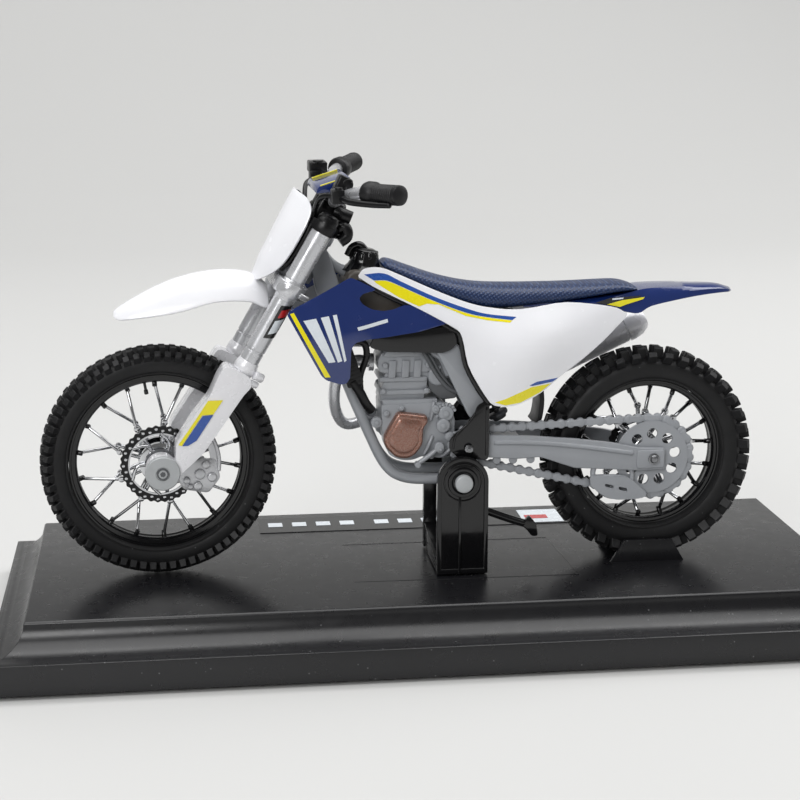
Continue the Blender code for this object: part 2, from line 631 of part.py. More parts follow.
def make_tyre(name, body, colour, centre, radius, rim, half):
    """A rounded tyre around its rim; the tread blocks are part of the looks."""
    bead = rim + GAP
    profile = [
        (bead, -half * 0.72), (bead + 1.0, -half), (radius - 1.8, -half * 0.98), (radius - 0.5, -half * 0.72),
        (radius, -half * 0.25), (radius, half * 0.25), (radius - 0.5, half * 0.72),
        (radius - 1.8, half * 0.98), (bead + 1.0, half), (bead, half * 0.72)]
    build(body, colour, revolved(name, centre, profile, 48))


def make_rim(name, body, colour, centre, radii, half):
    profile = [
        (radii[0], -half * 0.5), (radii[0] + 0.4, -half), (radii[1], -half), (radii[1], half),
        (radii[0] + 0.4, half), (radii[0], half * 0.5)]
    build(body, colour, revolved(name, centre, profile, ROUND))


def make_hub(name, body, colour, centre, flange, barrel, half, reach, bore):
    """A hub with a flange and spokes in pairs that meet on the flange, cast as one piece."""
    bm = bmesh.new()
    hub = Vector((centre[0], 0.0, centre[1]))
    pairs = SPOKES_PER_WHEEL // 2
    half_spoke = 0.28 / flange
    angles = []
    for k in range(pairs):
        middle = math.tau * k / pairs
        angles += [middle - 2 * half_spoke, middle, middle + 2 * half_spoke, middle + math.pi / pairs]
    rings = [
        [bm.verts.new(hub + Vector((flange * math.cos(a), y, flange * math.sin(a)))) for a in angles]
        for y in (-0.35, 0.35)]
    count = len(angles)
    spokes = []
    for k in range(count):
        after = (k + 1) % count
        face = bm.faces.new((rings[0][k], rings[0][after], rings[1][after], rings[1][k]))
        if k % 4 < 2:
            lean = (-1 if k % 4 == 0 else 1) * math.pi / pairs / 2
            spokes.append((face, math.tau * (k // 4) / pairs + lean))
    bm.faces.new(rings[0])
    bm.faces.new(rings[1])
    for face, angle in spokes:
        grown = bmesh.ops.extrude_discrete_faces(bm, faces=[face])["faces"][0]
        target = hub + Vector((reach * math.cos(angle), 0.0, reach * math.sin(angle)))
        middle = grown.calc_center_median()
        across = Vector((-math.sin(angle), 0.0, math.cos(angle)))
        for vert in grown.verts:
            offset = vert.co - middle
            thin = Vector((0, offset.y * 0.7, 0))
            vert.co = target + across * math.copysign(0.2, offset.dot(across)) + thin
    wheel = object_from(name, bm)
    barrel_piece = cross_cylinder("barrel_adder", centre, barrel, -half, half)
    build(body, colour, wheel, add=[barrel_piece], cut=[cross_cylinder("axle_bore", centre, bore, -9.0, 9.0)])


def make_front_wheel(body, colours):
    make_tyre("front_tyre", body, colours["rubber"], FRONT_AXLE, FRONT_TYRE_RADIUS, FRONT_RIM_RADII[1], 2.6)
    make_rim("front_rim", body, colours["gloss"], FRONT_AXLE, FRONT_RIM_RADII, 1.25)
    make_hub("front_hub", body, colours["chrome"], FRONT_AXLE, 6.8, 1.9, 2.3, FRONT_RIM_RADII[0] - GAP, 1.05)
    build(body, colours["steel"], disc("front_brake_disc", FRONT_AXLE, 6.6, 2.2, -3.0, -2.6))


# ---- rear end -----------------------------------------------------------------------------------
def make_swingarm(body, colour):
    arm = arc(SWINGARM_PIVOT, 1.9, 100, 260, 6)
    arm += [(8.2, 29.6), (22.9, 27.2), (34.0, 26.5), (38.4, 26.5)]
    arm += [(38.4, 30.4), (34.0, 30.4), (22.9, 32.5), (8.2, 33.5)]
    left = plate("swingarm", arm, -6.0, -4.9)
    right = plate("arm_adder", arm, 4.9, 6.0)
    across = [(9.2, 30.2), (9.2, 32.6), (13.8, 32.6), (14.6, 31.6), (14.6, 30.0)]
    bridge = plate("bridge_adder", across, -5.2, 5.2)
    cuts = [cross_cylinder("pivot_bore", SWINGARM_PIVOT, 0.85, -8, 8),
            cross_cylinder("axle_bore", REAR_AXLE, 1.05, -8, 8)]
    build(body, colour, left, add=[right, bridge], cut=cuts)


CHAIN_FRONT_RADIUS = 2.9
CHAIN_REAR_RADIUS = 7.2
CHAIN_THICKNESS = 0.9


def belt_outline(shrink):
    """Outline of a loop around the front and rear chain circles, `shrink` inside the outer one."""
    (x0, z0), (x1, z1) = SWINGARM_PIVOT, REAR_AXLE
    r0, r1 = CHAIN_FRONT_RADIUS - shrink, CHAIN_REAR_RADIUS - shrink
    heading = math.degrees(math.atan2(z1 - z0, x1 - x0))
    lean = math.degrees(math.acos((r0 - r1) / math.hypot(x1 - x0, z1 - z0)))
    rear = arc(REAR_AXLE, r1, heading - lean, heading + lean, 16)
    front = arc(SWINGARM_PIVOT, r0, heading + lean, heading + 360 - lean, 10)
    return rear + front


def make_drive(body, colour):
    loop = plate("chain", belt_outline(0.0), -4.5, -3.8)
    build(body, colour, loop, cut=[plate("loop_cutter", belt_outline(CHAIN_THICKNESS), -9.0, 9.0)])
    sprocket = disc("rear_sprocket", REAR_AXLE, CHAIN_REAR_RADIUS - CHAIN_THICKNESS - GAP, 1.05, -4.4, -3.9)
    build(body, colour, sprocket)
    guide = [(25.2, 21.8), (26.4, 20.6), (35.0, 20.4), (35.5, 24.6), (33.6, 25.2), (26.0, 25.4), (25.2, 24.4)]
    build(body, colour, plate("chain_guide", guide, -5.4, -4.8))


def make_rear_axle(body, colour):
    build(body, colour, cross_cylinder("rear_axle", REAR_AXLE, 0.75, -6.7, 6.7))


def make_rear_wheel(body, colours):
    make_tyre("rear_tyre", body, colours["rubber"], REAR_AXLE, REAR_TYRE_RADIUS, REAR_RIM_RADII[1], 3.2)
    make_rim("rear_rim", body, colours["gloss"], REAR_AXLE, REAR_RIM_RADII, 1.6)
    make_hub("rear_hub", body, colours["chrome"], REAR_AXLE, 4.4, 1.9, 3.5, REAR_RIM_RADII[0] - GAP, 1.05)
    build(body, colours["steel"], disc("rear_brake_disc", REAR_AXLE, 5.4, 2.2, 3.9, 4.3))


# ---- shock absorber and kickstand ---------------------------------------------------------------
def shock_point(distance):
    start = Vector((SHOCK_TOP[0], 0.0, SHOCK_TOP[1]))
    end = Vector((SHOCK_BOTTOM[0], 0.0, SHOCK_BOTTOM[1]))
    return start + (end - start).normalized() * distance


SHOCK_LENGTH = math.hypot(SHOCK_TOP[0] - SHOCK_BOTTOM[0], SHOCK_TOP[1] - SHOCK_BOTTOM[1])


def make_shock(bodies, colours):
    eye = cross_cylinder("shock_body", SHOCK_TOP, 1.7, -1.2, 1.2)
    barrel = cylinder("barrel_adder", shock_point(1.3), shock_point(5.4), 0.95)
    seat = cylinder("seat_adder", shock_point(1.9), shock_point(2.5), 1.75)
    bores = [cross_cylinder("eye_bore", SHOCK_TOP, 1.05, -3, 3),
             cylinder("rod_bore", shock_point(2.4), shock_point(7.0), 0.7)]
    build(bodies["shock_pivot"], colours["black"], eye, add=[barrel, seat], cut=bores)
    rod = cylinder("shock_rod", shock_point(3.6), shock_point(SHOCK_LENGTH - 1.9), 0.42)
    foot = cylinder("foot_adder", shock_point(SHOCK_LENGTH - 2.1), shock_point(SHOCK_LENGTH - 1.5), 1.75)
    build(bodies["shock_slide"], colours["steel"], rod, add=[foot])
    turns = 4
    steps = 12 * turns
    first, last = 2.5 + GAP + 0.25, SHOCK_LENGTH - 2.1 - GAP - 0.25
    along = (shock_point(1.0) - shock_point(0.0)).normalized()
    aside = Vector((0.0, 1.0, 0.0))
    across = along.cross(aside)
    helix = []
    for k in range(steps + 1):
        turn = math.tau * turns * k / steps
        helix.append(shock_point(first + (last - first) * k / steps)
                     + (aside * math.cos(turn) + across * math.sin(turn)) * 1.45)
    place(tube("shock_spring", helix, 0.22, 1, per_stretch=1), bodies["shock_slide"], colours["black"])


def make_kickstand(body, colour):
    outline = arc(KICKSTAND_PIVOT, 1.1, 60, 260, 6)
    outline += [(14.4, 17.3), (15.8, 15.5), (16.9, 15.5), (16.6, 17.4), (15.4, 19.1), (14.4, 18.8)]
    build(body, colour, plate("kickstand", outline, -5.6, -4.4), cut=[
        cross_cylinder("pivot_bore", KICKSTAND_PIVOT, 0.55, -6, -4)], edges=0.2)


# ---- assembly -----------------------------------------------------------------------------------
def make_bodies():
    base = Body("base_level", (0, 0, 0))
    base.empty.location = (0.0, 0.0, FOOT_HEIGHT * MM)
    bike = Body("bike_level", (0, 0, 0), base)
    bike.empty.location = (0.0, BIKE_OFFSET_Y * MM, 0.0)
    axis = Vector((math.sin(RAKE), 0.0, math.cos(RAKE)))
    stem = fork_point(0, STEM_OFFSET, 0)
    steering = Body("steering", stem, bike, Quaternion(axis, STEER_AT_REST))
    front_axle = (FRONT_AXLE[0], 0.0, FRONT_AXLE[1])
    swingarm = Body("swingarm_level", (SWINGARM_PIVOT[0], 0.0, SWINGARM_PIVOT[1]), bike)
    fork_lower = Body("fork_lower", front_axle, steering)
    shock_pivot = Body("shock_pivot", (SHOCK_TOP[0], 0.0, SHOCK_TOP[1]), bike)
    return {
        "base": base, "bike": bike, "steering": steering, "fork_lower": fork_lower,
        "front_wheel": Body("front_wheel", front_axle, fork_lower), "swingarm": swingarm,
        "rear_wheel": Body("rear_wheel", (REAR_AXLE[0], 0.0, REAR_AXLE[1]), swingarm),
        "shock_pivot": shock_pivot,
        "shock_slide": Body("shock_slide", (SHOCK_BOTTOM[0], 0.0, SHOCK_BOTTOM[1]), shock_pivot),
        "kickstand": Body("kickstand_level", (KICKSTAND_PIVOT[0], 0.0, KICKSTAND_PIVOT[1]), bike)}


def make_colours():
    return {
        "satin": material("satin black plastic", (0.018, 0.018, 0.02), 0.42),
        "black": material("black plastic", (0.02, 0.02, 0.022), 0.5),
        "white": material("white plastic", (0.82, 0.82, 0.83), 0.3),
        "blue": material("blue paint", (0.012, 0.045, 0.25), 0.25),
        "navy": material("navy seat cover", (0.02, 0.035, 0.09), 0.75),
        "grey": material("grey plastic", (0.26, 0.27, 0.285), 0.45),
        "dark": material("dark grey plastic", (0.06, 0.06, 0.065), 0.5),
        "bronze": material("bronze paint", (0.19, 0.085, 0.05), 0.4, 0.6),
        "silver": material("silver paint", (0.55, 0.55, 0.56), 0.35, 0.7),
        "steel": material("steel", (0.6, 0.6, 0.6), 0.25, 1.0),
        "chrome": material("chrome", (0.75, 0.75, 0.75), 0.12, 1.0),
        "gloss": material("gloss black plastic", (0.01, 0.01, 0.01), 0.15),
        "rubber": material("tyre rubber", (0.02, 0.02, 0.02), 0.7)}


def main():
    clear_scene()
    bodies = make_bodies()
    colours = make_colours()
    bike = bodies["bike"]
    make_plinth(bodies["base"], colours["satin"])
    make_bracket(bike, colours["satin"])
    make_pegs(bike, colours["steel"])
    make_frame(bike, colours["grey"])
    make_side_plates(bike, colours["black"])
    make_pivot_bolt(bike, colours["steel"])
    make_engine(bike, colours)
    make_shift_lever(bike, colours["grey"])
    make_cooling(bike, colours)
    make_exhaust(bike, colours["silver"])
    make_silencer(bike, colours)
    make_airbox(bike, colours["black"])
    make_tank(bike, colours)
    make_panels(bike, colours)
    make_seat(bike, colours["navy"])
    make_rear_fender(bike, colours["blue"])
    make_mud_flap(bike, colours["black"])
    steering = bodies["steering"]
    make_clamps(steering, colours)
    make_bars(steering, colours)
    make_bar_pad(steering, colours["blue"])
    make_number_plate(steering, colours["white"])
    make_front_fender(steering, colours["white"])
    make_fork_tubes(steering, colours["silver"])
    make_fork_legs(bodies["fork_lower"], colours)
    make_front_wheel(bodies["front_wheel"], colours)
    make_swingarm(bodies["swingarm"], colours["grey"])
    make_drive(bodies["swingarm"], colours["grey"])
    make_rear_axle(bodies["swingarm"], colours["steel"])
    make_rear_wheel(bodies["rear_wheel"], colours)
    make_shock(bodies, colours)
    make_kickstand(bodies["kickstand"], colours["black"])


main()
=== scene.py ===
# %% [markdown]
# # A scale-model motocross motorcycle on its plinth
# The model is about as long as a hand: glossy white and blue plastic over a grey lacquered frame and
# engine, with rubber tyres and chromed spokes, clipped upright on a black moulded plinth.
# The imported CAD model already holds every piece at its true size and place. This script draws a fine
# surface for each piece, in the same millimetres, and lets it ride on the body it belongs to.

# %% load the frame
import json
import math

import bmesh
import bpy
from mathutils import Matrix, Quaternion, Vector
from mathutils.geometry import tessellate_polygon
import numpy as np


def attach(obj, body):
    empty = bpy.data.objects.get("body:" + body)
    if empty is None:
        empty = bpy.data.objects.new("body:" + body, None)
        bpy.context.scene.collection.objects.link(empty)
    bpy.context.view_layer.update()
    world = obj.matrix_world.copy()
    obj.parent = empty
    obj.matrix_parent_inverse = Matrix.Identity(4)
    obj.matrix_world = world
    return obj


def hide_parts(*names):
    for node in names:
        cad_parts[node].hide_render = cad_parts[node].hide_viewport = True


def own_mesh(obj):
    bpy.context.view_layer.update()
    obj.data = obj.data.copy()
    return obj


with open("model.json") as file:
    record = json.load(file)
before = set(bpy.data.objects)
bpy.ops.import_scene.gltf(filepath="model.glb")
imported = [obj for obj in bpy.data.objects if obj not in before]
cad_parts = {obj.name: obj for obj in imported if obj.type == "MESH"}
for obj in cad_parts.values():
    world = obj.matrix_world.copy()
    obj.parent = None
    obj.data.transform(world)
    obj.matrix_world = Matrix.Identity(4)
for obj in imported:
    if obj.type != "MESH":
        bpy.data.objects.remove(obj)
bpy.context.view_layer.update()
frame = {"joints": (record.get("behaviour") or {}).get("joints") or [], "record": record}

# %% [markdown]
# ## Where things are
# Pieces are drawn in "bike millimetres": x toward the rear wheel, y from the motorcycle's middle plane
# and z from the underside of the plinth's rim. The front end is drawn straight ahead. One matrix for
# each body then puts it in place, and the front end's matrix also turns it about the steering axis,
# which stands a few degrees to the left at rest. All of that can be read from the joints.

# %% axes and places
MM = 0.001
FEET = 0.7 * MM
SIDES = ((-1, "left"), (1, "right"))
JOINTS = {joint["name"]: joint for joint in frame["joints"]}
RECORD = frame["record"]
BODY_OF = {node: body for body, nodes in RECORD["behaviour"]["bodies"].items() for node in nodes}

steer_axis = Vector(JOINTS["steering_turn"]["axis"]).normalized()
steer_at = Vector(JOINTS["steering_turn"]["pos_m"])
spin_axis = Vector(JOINTS["front_wheel_spin"]["axis"]).normalized()
straight = Vector((0.0, 1.0, 0.0))
steer_angle = straight.angle(spin_axis) * math.copysign(1.0, steer_axis.dot(straight.cross(spin_axis)))
RAKE = math.atan2(steer_axis.x, steer_axis.z)

BIKE = Matrix.Translation((0.0, steer_at.y, FEET)) @ Matrix.Scale(MM, 4)
TURN = Quaternion(steer_axis, steer_angle).to_matrix().to_4x4()
FRONT = Matrix.Translation(steer_at) @ TURN @ Matrix.Translation(-steer_at) @ BIKE
PLINTH = Matrix.Translation((0.0, 0.0, FEET)) @ Matrix.Scale(MM, 4)


def drawn(joint, place):
    """A joint's point in the millimetres its pieces are drawn in."""
    return place.inverted() @ Vector(JOINTS[joint]["pos_m"])


def seen(point):
    """The x and z of a point, which is its place in a drawing seen from the side."""
    return (point.x, point.z)


def around(centre, turn, reach, y=0.0):
    """The point at an angle and a distance round the Y line through centre."""
    return centre + Vector((reach * math.cos(turn), y, reach * math.sin(turn)))


FRONT_AXLE = drawn("front_wheel_spin", FRONT)
REAR_AXLE = drawn("rear_wheel_spin", BIKE)
PIVOT = drawn("swingarm_travel", BIKE)
SHOCK_TOP = drawn("shock_swing", BIKE)
STAND_PIVOT = drawn("kickstand_swing", BIKE)
STEM = drawn("steering_turn", FRONT)
STEM_OFFSET = 1.8
LEG_Y = 6.1
print("front axle", tuple(round(v, 2) for v in FRONT_AXLE), "steered", round(math.degrees(steer_angle), 2))

# %% [markdown]
# ## A small drawing kit
# Nearly everything on a moulded model is a lofted ring, a turned profile, a swept tube or a bent
# sheet. Each of these is one short method that adds a closed skin to the piece being drawn. They could
# be Blender primitives, but a loft gives every point a known place, so pieces meet where they should.

# %% outlines
def arc(centre, radius, start, end, steps):
    """Points of a round stretch in an x, z outline, angles in degrees."""
    turns = [math.radians(start + (end - start) * k / steps) for k in range(steps + 1)]
    return [(centre[0] + radius * math.cos(a), centre[1] + radius * math.sin(a)) for a in turns]


print("a quarter circle drawn in", len(arc((0, 0), 1.0, 0, 90, 6)), "points")


# %% smooth routes and rounded corners
def smooth_route(points, steps=6):
    """A Catmull-Rom curve through a few chosen points, in any number of dimensions."""
    knots = [np.array(point, float) for point in points]
    knots = [2 * knots[0] - knots[1]] + knots + [2 * knots[-1] - knots[-2]]
    route = []
    for a, b, c, d in zip(knots, knots[1:], knots[2:], knots[3:]):
        for k in range(steps):
            t = k / steps
            route.append(0.5 * (2 * b + (c - a) * t + (2 * a - 5 * b + 4 * c - d) * t ** 2
                                + (3 * b - a - 3 * c + d) * t ** 3))
    route.append(knots[-2])
    return [tuple(point) for point in route]


def rounded(outline, radius=0.5, steps=3):
    """The outline with each corner cut by a short curve."""
    made = []
    count = len(outline)
    for k in range(count):
        before, here, after = (Vector(outline[(k + step) % count]) for step in (-1, 0, 1))
        reach = min(radius, (before - here).length * 0.45, (after - here).length * 0.45)
        start = here + (before - here).normalized() * reach
        end = here + (after - here).normalized() * reach
        for step in range(steps + 1):
            t = step / steps
            made.append(tuple(start * (1 - t) ** 2 + here * 2 * t * (1 - t) + end * t ** 2))
    return made


print("a rounded square has", len(rounded([(0, 0), (4, 0), (4, 4), (0, 4)])), "points")


# %% places along the fork
def fork_point(t, u, y):
    """t runs up the fork, u rearward across it, from the middle of the lower clamp."""
    base = STEM - Vector((STEM_OFFSET * math.cos(RAKE), 0.0, -STEM_OFFSET * math.sin(RAKE)))
    return base + Vector((t * math.sin(RAKE) + u * math.cos(RAKE), y, t * math.cos(RAKE) - u * math.sin(RAKE)))


print("middle of the lower clamp", tuple(round(v, 1) for v in fork_point(0, 0, 0)))

# %% [markdown]
# ## A fair surface through a few heights
# A moulded panel bulges smoothly between the few places where its height is known. A thin plate is the
# mathematical version of a springy sheet pinned at those places: it never ripples between them. A
# subdivision cage could do the same, but would let the outline drift.


# %% a springy sheet
def thin_plate(knots):
    """A smooth height over x, z through a few (x, z, height) knots."""
    at = np.array([knot[:2] for knot in knots], float)
    far = np.linalg.norm(at[:, None] - at[None], axis=2)
    bend = np.where(far > 0, far ** 2 * np.log(np.maximum(far, 1e-9)), 0.0)
    flat = np.hstack([np.ones((len(at), 1)), at])
    system = np.block([[bend, flat], [flat.T, np.zeros((3, 3))]])
    weights = np.linalg.solve(system, np.concatenate([[knot[2] for knot in knots], np.zeros(3)]))

    def height(x, z):
        away = np.maximum(np.hypot(at[:, 0] - x, at[:, 1] - z), 1e-9)
        return float((away ** 2 * np.log(away)) @ weights[:-3] + weights[-3:] @ (1.0, x, z))
    return height


pinned = thin_plate([(0, 0, 0), (9, 0, 0), (0, 9, 0), (9, 9, 3)])
print("a sheet with one corner raised 3 mm is", round(pinned(4.5, 4.5), 2), "mm high in the middle")

# %% [markdown]
# ## The piece being drawn
# A Shape collects closed skins in one mesh. A skin may pass into its neighbour, as parts of a casting
# do, so a complicated piece is a pile of simple lofts instead of one difficult surface.

# %% the piece being drawn
class Shape:
    """Closed skins in drawing millimetres."""

    def __init__(self):
        self.bm = bmesh.new()

    def loft(self, rings, wrap=False):
        grid = [[self.bm.verts.new(point) for point in ring] for ring in rings]
        pairs = list(zip(grid, grid[1:]))
        if wrap:
            pairs.append((grid[-1], grid[0]))
        for low, high in pairs:
            for k in range(len(low)):
                after = (k + 1) % len(low)
                self.bm.faces.new((low[k], low[after], high[after], high[k]))
        if not wrap:
            self.bm.faces.new(grid[0][::-1])
            self.bm.faces.new(grid[-1])
        return self

    def prism(self, outline, y0, y1):
        return self.loft([[(x, y, z) for x, z in outline] for y in (y0, y1)])

    def slab(self, t0, t1, outline):
        """A u, y outline squared to the fork, from t0 up to t1."""
        return self.loft([[fork_point(t, u, y) for u, y in outline] for t in (t0, t1)])

    def turned(self, start, end, profile, sides=32):
        """profile is a list of (distance from start, radius) along the line to end."""
        start, along = Vector(start), (Vector(end) - Vector(start)).normalized()
        side = along.orthogonal().normalized()
        other = along.cross(side)
        rings = []
        for reach, radius in profile:
            turns = [math.tau * k / sides for k in range(sides)]
            rings.append([
                start + along * reach + (side * math.cos(a) + other * math.sin(a)) * radius for a in turns])
        return self.loft(rings)

    def rod(self, start, end, radius, lip=0.12, sides=24):
        length = (Vector(end) - Vector(start)).length
        lip = min(lip, length * 0.4, radius * 0.6)
        return self.turned(start, end, [
            (0, radius - lip), (lip * 0.3, radius - lip * 0.3), (lip, radius), (length - lip, radius),
            (length - lip * 0.3, radius - lip * 0.3), (length, radius - lip)], sides)

    def cross_rod(self, at, radius, y0, y1, lip=0.12, sides=24):
        return self.rod((at[0], y0, at[1]), (at[0], y1, at[1]), radius, lip, sides)

    def hoop(self, centre, profile, sides=96):
        """A closed r, y profile carried round the Y line through centre."""
        rings = []
        for k in range(sides):
            turn = math.tau * k / sides
            rings.append([
                (centre.x + r * math.cos(turn), y, centre.z + r * math.sin(turn)) for r, y in profile])
        return self.loft(rings, wrap=True)

    def tube(self, points, radius, sides=16, steps=6):
        """A round tube along a smooth route; its frames follow the route without twisting."""
        route = [Vector(point) for point in smooth_route(points, steps)]
        along = (route[1] - route[0]).normalized()
        side = along.orthogonal().normalized()
        rings = []
        for k, point in enumerate(route):
            ahead = (route[min(k + 1, len(route) - 1)] - route[max(k - 1, 0)]).normalized()
            side = along.rotation_difference(ahead) @ side
            along = ahead
            other = along.cross(side)
            size = radius(k / (len(route) - 1)) if callable(radius) else radius
            rings.append([
                point + (side * math.cos(math.tau * j / sides) + other * math.sin(math.tau * j / sides)) * size
                for j in range(sides)])
        return self.loft(rings)

    def sheet(self, rows):
        """An open grid, made solid later by a thickness."""
        grid = [[self.bm.verts.new(point) for point in row] for row in rows]
        for low, high in zip(grid, grid[1:]):
            for k in range(len(low) - 1):
                self.bm.faces.new((low[k], low[k + 1], high[k + 1], high[k]))
        return self

    def panel(self, outline, height, side, cell=1.0, lift=0.0):
        """An x, z outline cut into small cells and raised to side * height(x, z)."""
        made = bmesh.new()
        corners = [made.verts.new((x, 0.0, z)) for x, z in outline]
        for trio in tessellate_polygon([[Vector((x, z, 0)) for x, z in outline]]):
            made.faces.new([corners[k] for k in trio])
        for axis in (0, 2):
            values = [corner.co[axis] for corner in corners]
            cuts = np.arange(min(values) + cell * 0.37, max(values), cell)
            for cut in cuts:
                point = Vector((cut, 0, 0)) if axis == 0 else Vector((0, 0, cut))
                normal = Vector((1, 0, 0)) if axis == 0 else Vector((0, 0, 1))
                everything = made.verts[:] + made.edges[:] + made.faces[:]
                bmesh.ops.bisect_plane(made, geom=everything, plane_co=point, plane_no=normal, dist=1e-5)
        bmesh.ops.recalc_face_normals(made, faces=made.faces)
        for vert in made.verts:
            vert.co.y = side * (height(vert.co.x, vert.co.z) + lift)
        data = bpy.data.meshes.new("panel")
        made.to_mesh(data)
        made.free()
        self.bm.from_mesh(data)
        bpy.data.meshes.remove(data)
        return self

    def holed(self, outline, holes, y):
        """A flat x, z plate with holes, made solid later by a thickness."""
        loops = [[Vector((x, z, 0)) for x, z in loop] for loop in [outline] + holes]
        corners = [self.bm.verts.new((point.x, y, point.y)) for loop in loops for point in loop]
        for trio in tessellate_polygon(loops):
            self.bm.faces.new([corners[k] for k in trio])
        return self

    def block(self, centre, size, turn=None, taper=1.0):
        """A box whose local z top is narrowed by taper; turn is a matrix of its three directions."""
        frame3 = turn or Matrix.Identity(3)
        rings = []
        for w, narrow in ((-0.5, 1.0), (0.5, taper)):
            rings.append([
                Vector(centre) + frame3 @ Vector((size[0] * u * narrow, size[1] * v * narrow, size[2] * w))
                for u, v in ((-0.5, -0.5), (0.5, -0.5), (0.5, 0.5), (-0.5, 0.5))])
        return self.loft(rings)


# %% [markdown]
# ## From a drawing to a piece
# A real moulding has small round edges and even walls. Those come from modifiers: Solidify for the
# wall, Bevel for the edges and one or two steps of subdivision where the form is soft. They are applied
# here, so that the piece is one plain mesh. Each point also remembers its drawn place in millimetres
# in an attribute, which the materials read, so that a pattern keeps its true size on every piece.

# %% finishing a piece
PLACES = {"steering": FRONT, "fork_lower": FRONT, "front_wheel": FRONT}
made_pieces = []


def make(name, shape, finish, replaces=(), on=None, bevel=0.0, steps=2, levels=0, wall=0.0, angle=35.0,
         place=None, even=True):
    """Turns a Shape into a finished piece on the body of the CAD node it stands for or sits on."""
    host = replaces[0] if replaces else on
    bmesh.ops.recalc_face_normals(shape.bm, faces=shape.bm.faces)
    data = bpy.data.meshes.new(name)
    shape.bm.to_mesh(data)
    shape.bm.free()
    piece = bpy.data.objects.new(name, data)
    bpy.context.scene.collection.objects.link(piece)
    if wall:
        modifier = piece.modifiers.new("wall", "SOLIDIFY")
        modifier.thickness = abs(wall)
        modifier.offset = math.copysign(1.0, wall)
        modifier.use_even_offset = even
    if bevel:
        modifier = piece.modifiers.new("edges", "BEVEL")
        modifier.width = bevel
        modifier.segments = steps
        modifier.limit_method = "ANGLE"
        modifier.angle_limit = math.radians(angle)
    if levels:
        modifier = piece.modifiers.new("soft", "SUBSURF")
        modifier.levels = levels
        modifier.render_levels = levels
    bpy.context.view_layer.update()
    final = bpy.data.meshes.new_from_object(piece.evaluated_get(bpy.context.evaluated_depsgraph_get()))
    piece.modifiers.clear()
    piece.data = final
    points = np.empty(len(final.vertices) * 3, np.float32)
    final.vertices.foreach_get("co", points)
    final.attributes.new("drawn", "FLOAT_VECTOR", "POINT").data.foreach_set("vector", points)
    final.transform(place or PLACES.get(BODY_OF[host], BIKE))
    final.shade_smooth()
    final.set_sharp_from_angle(angle=math.radians(angle))
    final.materials.clear()
    final.materials.append(finish)
    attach(piece, BODY_OF[host])
    if replaces:
        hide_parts(*replaces)
    made_pieces.append(piece)
    reach = np.ptp(points.reshape(-1, 3), axis=0)
    print(f"{name}: {len(final.polygons)} faces, {reach[0]:.1f} x {reach[1]:.1f} x {reach[2]:.1f} mm")
    return piece


# %% [markdown]
# ## Materials
# Each finish is named for what the real one is made of, except one brown, which is a painted shadow colour. A
# finish has one Principled shader whose constants are typical values for the stuff, a colour that drifts a
# little over millimetres, as paint and plastic do, and a fine bump at the grain's real size. Texture images
# would fix the look to one layout, so all of it is computed from the drawn millimetres instead.

# %% colour and node helpers
def linear(hex_colour):
    """An sRGB hex colour as linear RGBA."""
    parts = [int(hex_colour[k:k + 2], 16) / 255 for k in (1, 3, 5)]
    return (*[c / 12.92 if c <= 0.04045 else ((c + 0.055) / 1.055) ** 2.4 for c in parts], 1.0)


def add(tree, kind, inputs=None, **settings):
    """Adds a node with its settings, its values and its links."""
    made = tree.nodes.new("ShaderNode" + kind)
    for name, value in settings.items():
        setattr(made, name, value)
    for socket, value in (inputs or {}).items():
        if isinstance(value, bpy.types.NodeSocket):
            tree.links.new(value, made.inputs[socket])
        else:
            made.inputs[socket].default_value = value
    return made


